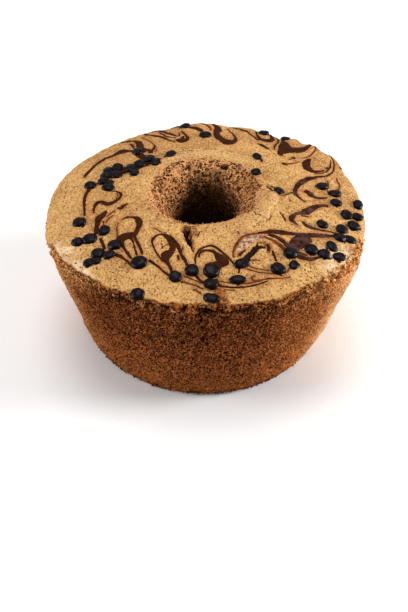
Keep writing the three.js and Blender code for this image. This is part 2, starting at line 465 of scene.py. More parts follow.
chocolateLook = {
    "heart": paint(60, 27, 10),
    "edge": paint(34, 11, 2),
    # painted sheen on the big stroke at the front right
    "paintedSheen": paint(98, 72, 72),
    "tint": (1.0, 0.62, 0.45, 1),
    "chipTint": (0.95, 0.87, 0.98, 1),
    "faint": paint(106, 54, 25),
    "chip": paint(8, 2, 1),
    "chipWorn": paint(24, 11, 8),
    # painted highlight on the chips' tops
    "chipPaintedSheen": paint(28, 20, 24),
}


def swirlChocolate(start, place):
    look = chocolateLook
    across = carried(start, "across")
    cloud = place.clouds(3.2, 3, 0.6)
    heart = (cloud - across * 0.35).between(0.25, 0.6)
    colour = heart.blend(look["edge"], look["heart"])
    colour = (carried(start, "tone") * cloud.between(0.2, 0.55)).blend(colour, look["faint"])
    x, y = place.parts()[:2]
    # painted sheen: pale streaks on the big stroke at the front right
    streaks = place.clouds(4.5, 3, 0.6).between(0.44, 0.64) * (1 - across)
    streaks = streaks * x.between(0.035, 0.055) * y.between(0.03, 0.01)
    colour = (streaks * 0.5).blend(colour, look["paintedSheen"])
    height = cloud + place.clouds(0.9, 2) * 0.35
    return sheen(start, colour, 0.5 + cloud * 0.2, height, 0.25, 0.6, 0.06, look["tint"])


def chipChocolate(start, place):
    look = chocolateLook
    cloud = place.clouds(2.6, 3, 0.6)
    colour = cloud.between(0.5, 0.75).blend(look["chip"], look["chipWorn"])
    # painted highlight on the chips' tops
    paintedSheen = carried(start, "dome").between(0.5, 1.0) * cloud.between(0.3, 0.6)
    colour = (paintedSheen * 0.75).blend(colour, look["chipPaintedSheen"])
    height = cloud + place.clouds(1.3, 2) * 0.3
    return sheen(start, colour, 0.26 + cloud * 0.2, height, 0.25, 0.5, 0.11, look["chipTint"])


lumpLook = {
    "golden": paint(208, 136, 64),
    "pale": paint(232, 188, 120),
    "burnt": paint(158, 82, 34),
    "frontBrown": paint(156, 82, 34),
    # painted light on the right
    "rightPaintedLight": paint(246, 212, 152),
}


def tornLump(start, place):
    look = lumpLook
    light = place.clouds(3.0, 3, 0.6).between(0.46, 0.68)
    colour = light.blend(look["golden"], look["pale"])
    x = place.parts()[0]
    middle = (x * x).between(0.0042, 0.002)
    colour = (middle * 0.85).blend(colour, look["frontBrown"])
    # paler on the right: painted light
    colour = (x.between(0.05, 0.07) * light).blend(colour, look["rightPaintedLight"])
    colour = place.clouds(1.8, 3, 0.6).between(0.5, 0.34).blend(colour, look["burnt"])
    height = place.clouds(0.9, 3)
    return sheen(start, colour, 0.8, height, 0.4, 0.8, 0.08)


floorLook = {"colour": paint(246, 246, 246), "half": 3.0}


def paleFloor(start, place):
    cloud = place.clouds(60, 2)
    sockets = {"Base Color": floorLook["colour"], "Roughness": 0.55 + cloud * 0.1}
    return start.node("ShaderNodeBsdfPrincipled", None, sockets)


skinMaterial = finish("bakedSkin", bakedSkin)
crumbMaterial = finish("openCrumb", openCrumb)
swirlMaterial = finish("swirlChocolate", swirlChocolate)
chipMaterial = finish("chipChocolate", chipChocolate)
lumpMaterial = finish("tornLump", tornLump)
floorMaterial = finish("paleFloor", paleFloor)
print("materials are made")


# The cake's form in millimetres, as the solid has it
cakeForm = {
    "rimRadius": 100.0,
    "baseRadius": 86.0,
    "rimHeight": 90.0,
    "crownRise": 7.0,
    "crownSpan": 65.0,
    "tubeRadius": 21.0,
    "mouthRadius": 41.0,
    "mouthDepth": 34.0,
    "ringMiddle": 60.0,  # nearer the axis is the hole's side, and beyond it the outer side
    "rimRounding": 4.0,
    "bendTop": 90.9,     # height at which the top bends down over the rim
    "riseToRight": 1.7,
    "dropToBack": 2.0,
    "skinWaves": 0.5,
    "sideCrumb": 0.75,
    "holeCrumb": 1.1,
    "tornGap": 2.4,
    "tornRagged": 1.1,
    "mouthShift": 1.8,   # how far the hole's edge is moved in at the front right
}
# where the path over the rim starts, 8 mm inside it
pathStart = cakeForm["rimRadius"] - 2 * cakeForm["rimRounding"]
# angle, half width, outwards, upwards
rimBulges = [
    (135, 38, -1.6, 0), (93, 19, 0.6, 2), (73, 8, 1.2, 0.8), (57, 7, -2, -1), (49, 5, 2, 1.4),
    (41, 7, 3.4, 1.6), (30, 12, 4, 1.2), (-38, 27, 3.2, 0), (-66, 13, 1.6, 0),
    (-90, 30, -2.6, -1.8), (-146, 28, 3.2, 0),
]


def smooth(low, high, value):
    t = np.clip((value - low) / (high - low), 0, 1)
    return t * t * (3 - 2 * t)


def bell(angle, centre, halfWidth):
    away = np.abs((angle - centre + 540) % 360 - 180) / halfWidth
    return np.where(away >= 1, 0.0, 0.5 + 0.5 * np.cos(np.pi * np.minimum(away, 1)))


# A fixed value between -1 and 1 for each corner of a unit grid
def lattice(ix, iy, iz):
    mixed = ix * 374761393 + iy * 668265263 + iz * 974634777
    h = (mixed & 0xFFFFFFFF).astype(np.uint64)
    h = ((h ^ (h >> np.uint64(13))) * np.uint64(1274126177)) & np.uint64(0xFFFFFFFF)
    return (h ^ (h >> np.uint64(16))).astype(float) / 2147483647.5 - 1


def lumps(x, y, z, size):
    grid = [np.asarray(part, float) / size for part in np.broadcast_arrays(x, y, z)]
    whole = [np.floor(part).astype(np.int64) for part in grid]
    weight = [(part - low) ** 2 * (3 - 2 * (part - low)) for part, low in zip(grid, whole)]
    total = 0.0
    for dz in (0, 1):
        for dy in (0, 1):
            for dx in (0, 1):
                share = weight[0] if dx else 1 - weight[0]
                share = share * (weight[1] if dy else 1 - weight[1])
                share = share * (weight[2] if dz else 1 - weight[2])
                total = total + share * lattice(whole[0] + dx, whole[1] + dy, whole[2] + dz)
    return total


def rimOut(angle):
    return sum(out * bell(angle, at, wide) for at, wide, out, up in rimBulges)


def rimUp(angle, radius):
    lift = sum(up * bell(angle, at, wide) for at, wide, out, up in rimBulges)
    return lift * smooth(72, 96, radius)


def tornEdge(angle):
    return np.maximum(bell(angle, -90, 62) ** 0.5, 0.35 * bell(angle, -36, 30))


# Where the skin itself is torn off, with the two golden places at the front corners
def skinTorn(angle):
    corners = np.maximum(0.75 * bell(angle, -143, 20), 0.75 * bell(angle, -33, 17))
    return np.maximum(tornEdge(angle), corners)


def crown(radius):
    t = np.clip((cakeForm["rimRadius"] - radius) / cakeForm["crownSpan"], 0, 1)
    return cakeForm["crownRise"] * (1 - (1 - t) ** 2.2)


# The top before it is made uneven
def plainTop(radius):
    return cakeForm["rimHeight"] + crown(radius)


def topWaves(x, y):
    return cakeForm["skinWaves"] * (lumps(x, y, 3, 26) + 0.6 * lumps(x, y, 7, 11))


def slope(x, y):
    return (cakeForm["riseToRight"] * x - cakeForm["dropToBack"] * y) / cakeForm["rimRadius"]


def topHeight(x, y):
    radius = np.hypot(x, y)
    angle = np.degrees(np.arctan2(y, x))
    return plainTop(radius) + slope(x, y) + rimUp(angle, radius) + topWaves(x, y)


# A point of the turned section moved to the cake's uneven form: radius, height and angle in,
# outward shift and lift out
def unevenness(radius, height, direction):
    form = cakeForm
    angle = np.degrees(direction)
    x, y = radius * np.cos(direction), radius * np.sin(direction)
    up = height / form["rimHeight"]
    inner = radius < form["ringMiddle"]
    outer = smooth(form["ringMiddle"], form["rimRadius"], radius)
    side = (radius > form["ringMiddle"]) * (1 - smooth(85, 90, height))
    mouth = inner * (1 - smooth(35, 42, radius))
    crumbly = np.maximum(side, mouth) * smooth(0, 4, height)
    coarse = np.where(inner, form["holeCrumb"], form["sideCrumb"]) * crumbly
    out = rimOut(angle) * outer * smooth(0.05, 1, up)
    out = out + coarse * (lumps(x, y, height, 8) + 0.6 * lumps(x + 40, y, height, 17))
    bulge = 3 * bell(angle, -34, 42) * smooth(0, 0.25, up) * (1 - smooth(0.9, 1, up))
    out = out + bulge * outer * side
    shifted = bell(angle, -50, 125) * smooth(10, 60, height) * (1 - smooth(41, 58, radius))
    out = out - form["mouthShift"] * shifted
    lift = (slope(x, y) + rimUp(angle, radius)) * smooth(0.3, 1, up)
    return out, lift + topWaves(x, y) * smooth(84, 90, height)


def mouthPoint(turn):
    form = cakeForm
    radius = form["mouthRadius"] - (form["mouthRadius"] - form["tubeRadius"]) * np.cos(turn) ** 0.92
    return radius, form["rimHeight"] + form["crownRise"] - form["mouthDepth"] * (1 - np.sin(turn))


# How much further out the skin starts at the back of the hole
def mouthReach(angle):
    return 3.5 * bell(angle, 88, 110)


def sideRadius(height):
    form = cakeForm
    flare = form["rimRadius"] - form["baseRadius"]
    return form["baseRadius"] + flare * (height / form["rimHeight"]) ** 0.85


def finishedPiece(name, mesh):
    mesh.name = name
    piece = bpy.data.objects.new(name, mesh)
    scene.collection.objects.link(piece)
    return piece


def numberField(mesh, name, values):
    carry = mesh.attributes.new(name, "FLOAT", "POINT")
    carry.data.foreach_set("value", np.ravel(values).astype(float))


def vectorField(mesh, name, values):
    mesh.attributes.new(name, "FLOAT_VECTOR", "POINT").data.foreach_set("vector", np.ravel(values))


# A closed form from points in millimetres, turned so that its faces look outwards
def closedMesh(name, points, faces, values, material):
    points = np.asarray(points)
    first = np.array([face[:3] for face in faces])
    rest = np.array([(face[0], face[2], face[3]) for face in faces if len(face) == 4])
    triangles = np.concatenate([first, rest])
    a, b, c = (points[triangles[:, k]] for k in range(3))
    if np.einsum("ij,ij->i", a, np.cross(b, c)).sum() < 0:
        faces = [face[::-1] for face in faces]
    mesh = bpy.data.meshes.new(name)
    mesh.from_pydata((points * mm).tolist(), [], faces)
    for label, array in values.items():
        numberField(mesh, label, array)
    mesh.shade_smooth()
    mesh.materials.append(material)
    return finishedPiece(name, mesh)


def turnsOf(steps):
    return (np.arange(steps) * 2 * np.pi / steps)[None, :]


def ringFaces(first, second, steps):
    k = np.arange(steps)
    after = (k + 1) % steps
    return np.stack([first + k, first + after, second + after, second + k], axis=1).tolist()


# Faces between neighbours in a row of rings, of which the first starts at point `base`
def tubeFaces(base, rings, steps):
    faces = []
    for ring in range(rings - 1):
        faces += ringFaces(base + ring * steps, base + (ring + 1) * steps, steps)
    return faces


# The open crumb: side wall, hole and underside in one closed form
crumbPiece = {
    "holeSteps": 280,
    "sideSteps": 840,
    "under": 1.1,       # how far the crumb lies under the skin
    "coarsePore": 3.6,  # spacing of the larger pores
    "coarseDepth": 1.2,
    "finePore": 1.7,
    "fineDepth": 0.9,
    "grain": 0.6,
}
# Cavities on the side and in the hole: angle, height, half width, half height, depth
sideMarks = [
    (-107.5, 87, 4.5, 2.2, 3.0), (-101.5, 87.5, 5.5, 2.2, 3.0), (-96.1, 88.3, 1.5, 3.0, 3.0),
    (-90.5, 88, 2.4, 1.8, 2.6), (-88, 86.5, 4, 2.4, 3.0), (-84, 87.5, 5, 3.0, 3.2),
    (-79, 85.8, 4, 1.6, 2.0),
    (-98.9, 64.6, 2.0, 1.4, 2.0), (-94.9, 66.8, 1.9, 1.4, 2.2), (-96.8, 60, 1.5, 1.1, 1.6),
    (-84.6, 75, 1.9, 1.5, 2.2), (-85.8, 66.5, 2.6, 1.2, 2.0), (-85.3, 28, 1.2, 0.9, 1.5),
    (-90.6, 80, 0.8, 3.4, 2.0), (-90.0, 73.5, 1.0, 2.6, 2.2), (-89.3, 67, 1.3, 2.4, 2.6),
    (-90.1, 62.5, 0.9, 2.2, 2.2), (-88.6, 58.5, 1.4, 1.7, 2.2), (-103, 63, 1.5, 1.2, 1.6),
    (-62, 84.5, 6, 1.8, 2.0), (-118, 85, 6, 1.8, 1.8),
]
holeMarks = [
    (110, 95.2, 1.6, 1.4, 2.0), (68.8, 95.2, 3.4, 1.2, 2.6), (35.4, 88.2, 2.0, 1.8, 2.2),
    (164, 92.0, 1.5, 1.4, 1.8), (96, 95.3, 1.2, 1.0, 1.6), (52, 94.5, 1.4, 1.0, 1.6),
]


# The section is a list of rows: radius, height, and how far the skin covers it
def crumbSection():
    form = cakeForm
    inner = [(52, 0, 0), (form["tubeRadius"] + 3.5, 0, 0), (form["tubeRadius"] + 2.3, 1.2, 0)]
    for height in np.linspace(3, 60, 26):
        inner.append((form["tubeRadius"] + 2 * max(0, 1 - height / 54), height, 0))
    for turn in np.radians(np.linspace(0, 90, 38)):
        radius, height = mouthPoint(turn)
        inner.append((radius, height, 0))
    inner += [(radius, plainTop(radius), 1) for radius in (46, 52, 58)]
    outer = [(radius, plainTop(radius), 1) for radius in (64, 72, 80, 87, 92)]
    bend = form["rimRounding"]
    for turn in np.radians(np.linspace(0, 90, 8)):
        radius = form["rimRadius"] - bend * (1 - np.sin(turn))
        outer.append((radius, form["bendTop"] - bend * (1 - np.cos(turn)), 1))
    for height in np.linspace(85.8, 2.2, 72):
        outer.append((sideRadius(height), height, smooth(80, 83.5, height)))
    outer += [(85.6, 1.0, 0), (85.0, 0.3, 0), (84.0, 0, 0), (70, 0, 0)]
    return np.array(inner, float), np.array(outer, float)


def sectionNormals(rows):
    ahead = np.roll(rows, -1, axis=0)[:, :2] - np.roll(rows, 1, axis=0)[:, :2]
    ahead /= np.linalg.norm(ahead, axis=1)[:, None]
    return np.column_stack([-ahead[:, 1], ahead[:, 0]])


gash = {"from": (-11.8, -36.2), "to": (-6.2, -60.0), "width": 6.4, "depth": 7.0}


# Along the gash from 0 to 1, then the distance from its middle line and its half width there
def gashPlace(x, y):
    start, end = np.array(gash["from"]), np.array(gash["to"])
    long = np.linalg.norm(end - start)
    ux, uy = (end - start) / long
    along = ((x - start[0]) * ux + (y - start[1]) * uy) / long
    across = (y - start[1]) * ux - (x - start[0]) * uy
    half = np.interp(along, [0, 0.12, 0.35, 0.7, 1], [0, 0.42, 0.5, 0.27, 0]) * gash["width"]
    ragged = 0.7 * lumps(x, y, 9, 2.2) + 0.4 * lumps(x, y, 4, 1.1)
    return along, np.abs(across + ragged), half


def marksOnSide(radius, height, direction):
    angle = np.degrees(direction)
    x, y = radius * np.cos(direction), radius * np.sin(direction)
    ragged = 0.5 * lumps(x, y, height, 3.2) + 0.35 * lumps(x, y, height, 1.5)
    depth = np.zeros(np.broadcast(radius, direction).shape)
    middle = cakeForm["ringMiddle"]
    for marks, there in ((sideMarks, radius > middle), (holeMarks, radius < middle)):
        for at, level, wide, high, deep in marks:
            around = np.radians((angle - at + 540) % 360 - 180) * radius / wide
            away = np.sqrt(around ** 2 + ((height - level) / high) ** 2) + ragged
            depth = np.maximum(depth, deep * (1 - smooth(0.45, 1.0, away)) * there)
    return depth


def crumbRings(rows, normals, steps):
    form = cakeForm
    direction = turnsOf(steps)
    radius, height, cover = (rows[:, k][:, None] for k in range(3))
    torn = skinTorn(np.degrees(direction))
    reach = mouthReach(np.degrees(direction))
    inMouth = (radius < form["ringMiddle"]) & (height > 50)
    cover = np.where(inMouth, smooth(35.5 + reach, 39.5 + reach, radius), cover)
    out, lift = unevenness(radius, height, direction)
    cover = cover * (1 - torn * smooth(89, 87.5, height) * (radius > form["ringMiddle"]))
    below = form["rimHeight"] - height
    rimX, rimY = form["rimRadius"] * np.cos(direction), form["rimRadius"] * np.sin(direction)
    patches = lumps(rimX, rimY, height * 1.4, 6) + 0.5 * lumps(rimX, rimY, height, 2.6)
    atEdge = radius > pathStart
    hollow = smooth(-0.05, 0.45, patches) * smooth(0.4, 1.4, below)
    hollow = hollow * (1 - smooth(4.5, 8, below)) * atEdge
    setBack = 0.25 * smooth(1, 3, below) * (1 - smooth(5, 13, below)) * atEdge
    gap = form["tornGap"] * torn * (hollow + setBack)
    marks = marksOnSide(radius, height, direction)
    inset = crumbPiece["under"] * cover + marks
    ring = radius + out - gap - inset * normals[:, 0][:, None]
    level = height + lift - inset * normals[:, 1][:, None]
    x, y = ring * np.cos(direction), ring * np.sin(direction)
    along, across, half = gashPlace(x, y)
    near = (1 - smooth(4, 8, across)) * smooth(-0.25, -0.1, along) * smooth(1.25, 1.1, along)
    level = level - (gash["depth"] + 3) * near * cover
    points = np.stack([x, y, np.maximum(level, 0)], axis=-1)
    bare = (1 - cover) * smooth(0.5, 3, height) * np.ones_like(direction)
    # pit: how dark the cavities and the hollow under the torn skin are painted, as shade
    pit = np.clip(marks / 1.6 + hollow * torn, 0, 1)
    band = torn * (1 - smooth(4, 9, below)) * atEdge * (1 - pit)
    return points.reshape(-1, 3), bare.ravel(), pit.ravel(), band.ravel()


def makeCrumb():
    inner, outer = crumbSection()
    normals = sectionNormals(np.concatenate([inner, outer]))
    few, many = crumbPiece["holeSteps"], crumbPiece["sideSteps"]
    parts = [
        crumbRings(inner, normals[:len(inner)], few),
        crumbRings(outer, normals[len(inner):], many),
    ]
    points, bare, pit, band = (np.concatenate([part[k] for part in parts]) for k in range(4))
    base = len(inner) * few
    faces = tubeFaces(0, len(inner), few) + tubeFaces(base, len(outer), many)
    # three steps of the side meet one of the hole, under the skin and on the underside
    ratio = many // few
    seams = [(base - few, base, 1), (0, base + (len(outer) - 1) * many, -1)]
    for coarse, fine, flip in seams:
        for k in range(few):
            a, b = coarse + k, coarse + (k + 1) % few
            near = [fine + (ratio * k + step) % many for step in range(ratio + 1)]
            for face in ((a, near[1], near[0]), (a, b, near[2], near[1]), (b, near[3], near[2])):
                faces.append(face[::flip])
    values = {"open": bare, "pit": pit, "band": band}
    return closedMesh("cake_crumb", points, faces, values, crumbMaterial)


# Geometry Nodes: a tree has named inputs, and its result becomes a plain mesh
socketKinds = {
    float: "NodeSocketFloat",
    int: "NodeSocketInt",
    bpy.types.Object: "NodeSocketObject",
    bpy.types.Material: "NodeSocketMaterial",
}


def growTree(inputs, build):
    tree = bpy.data.node_groups.new(build.__name__, "GeometryNodeTree")
    tree.interface.new_socket("Geometry", in_out="INPUT", socket_type="NodeSocketGeometry")
    for label, value in inputs.items():
        kind = socketKinds[type(value)]
        tree.interface.new_socket(label, in_out="INPUT", socket_type=kind)
    tree.interface.new_socket("Geometry", in_out="OUTPUT", socket_type="NodeSocketGeometry")
    start = Wire(tree)
    given = start.node("NodeGroupInput")
    start.node("NodeGroupOutput", None, {0: build(given)})
    return tree


def runTree(source, inputs, build):
    tree = growTree(inputs, build)
    modifier = source.modifiers.new(tree.name, "NODES")
    modifier.node_group = tree
    for item in tree.interface.items_tree:
        if item.in_out == "INPUT" and item.name in inputs:
            modifier[item.identifier] = inputs[item.name]
    graph = bpy.context.evaluated_depsgraph_get()
    mesh = bpy.data.meshes.new_from_object(source.evaluated_get(graph))
    source.modifiers.remove(modifier)
    return mesh


def grownPiece(name, source, inputs, build):
    mesh = runTree(source, inputs, build)
    bpy.data.objects.remove(source)
    return finishedPiece(name, mesh)


def field(given, name, kind="FLOAT"):
    return given.node("GeometryNodeInputNamedAttribute", {"data_type": kind}, {"Name": name})


def kept(geometry, name, value):
    return geometry.node("GeometryNodeStoreNamedAttribute", None, {0: geometry, 2: name, 3: value})


def moved(geometry, shift):
    return geometry.node("GeometryNodeSetPosition", None, {0: geometry, 3: shift})


# A copy of a form on each point, turned and stretched, as one mesh
def placed(given, form, turn, shape):
    sockets = {0: given, 2: form, 5: turn, 6: shape}
    copies = given.node("GeometryNodeInstanceOnPoints", None, sockets)
    return copies.node("GeometryNodeRealizeInstances", None, {0: copies})


# The end of every tree: smooth, one plain mesh, with its material
def dressed(geometry, material):
    soft = geometry.node("GeometryNodeSetShadeSmooth", None, {0: geometry})
    whole = soft.node("GeometryNodeRealizeInstances", None, {0: soft})
    return whole.node("GeometryNodeSetMaterial", None, {0: whole, 2: material})


def crumbRelief(given):
    place = given.node("GeometryNodeInputPosition")
    normal = given.node("GeometryNodeInputNormal")
    bare = field(given, "open")
    coarse, fine = place.cells(crumbPiece["coarsePore"]), place.cells(crumbPiece["finePore"])
    coarse = coarse.between(0.6, 0.16) * coarse.chance().between(0.65, 0.9)
    fine = fine.between(0.6, 0.16) * fine.chance().between(0.35, 0.65)
    rough = place.clouds(2.6, 2) - 0.5
    depth = coarse * given.other("Coarse depth") + fine * given.other("Fine depth")
    shift = (rough * given.other("Grain") * 2 - depth) * bare * mm
    # how dark the pores are painted, as shade in them
    pit = (coarse * 0.8).most(fine * 0.5) * bare
    pitted = kept(moved(given, normal * shift), "pit", pit.most(field(given, "pit")).least(1))
    return dressed(pitted, given.other("Crumb"))


crumb = makeCrumb()
crumbInputs = {
    "Coarse depth": crumbPiece["coarseDepth"],
    "Fine depth": crumbPiece["fineDepth"],
    "Grain": crumbPiece["grain"],
    "Crumb": crumbMaterial,
}
crumb.data = runTree(crumb, crumbInputs, crumbRelief)
print("crumb is made:", len(crumb.data.polygons), "faces")


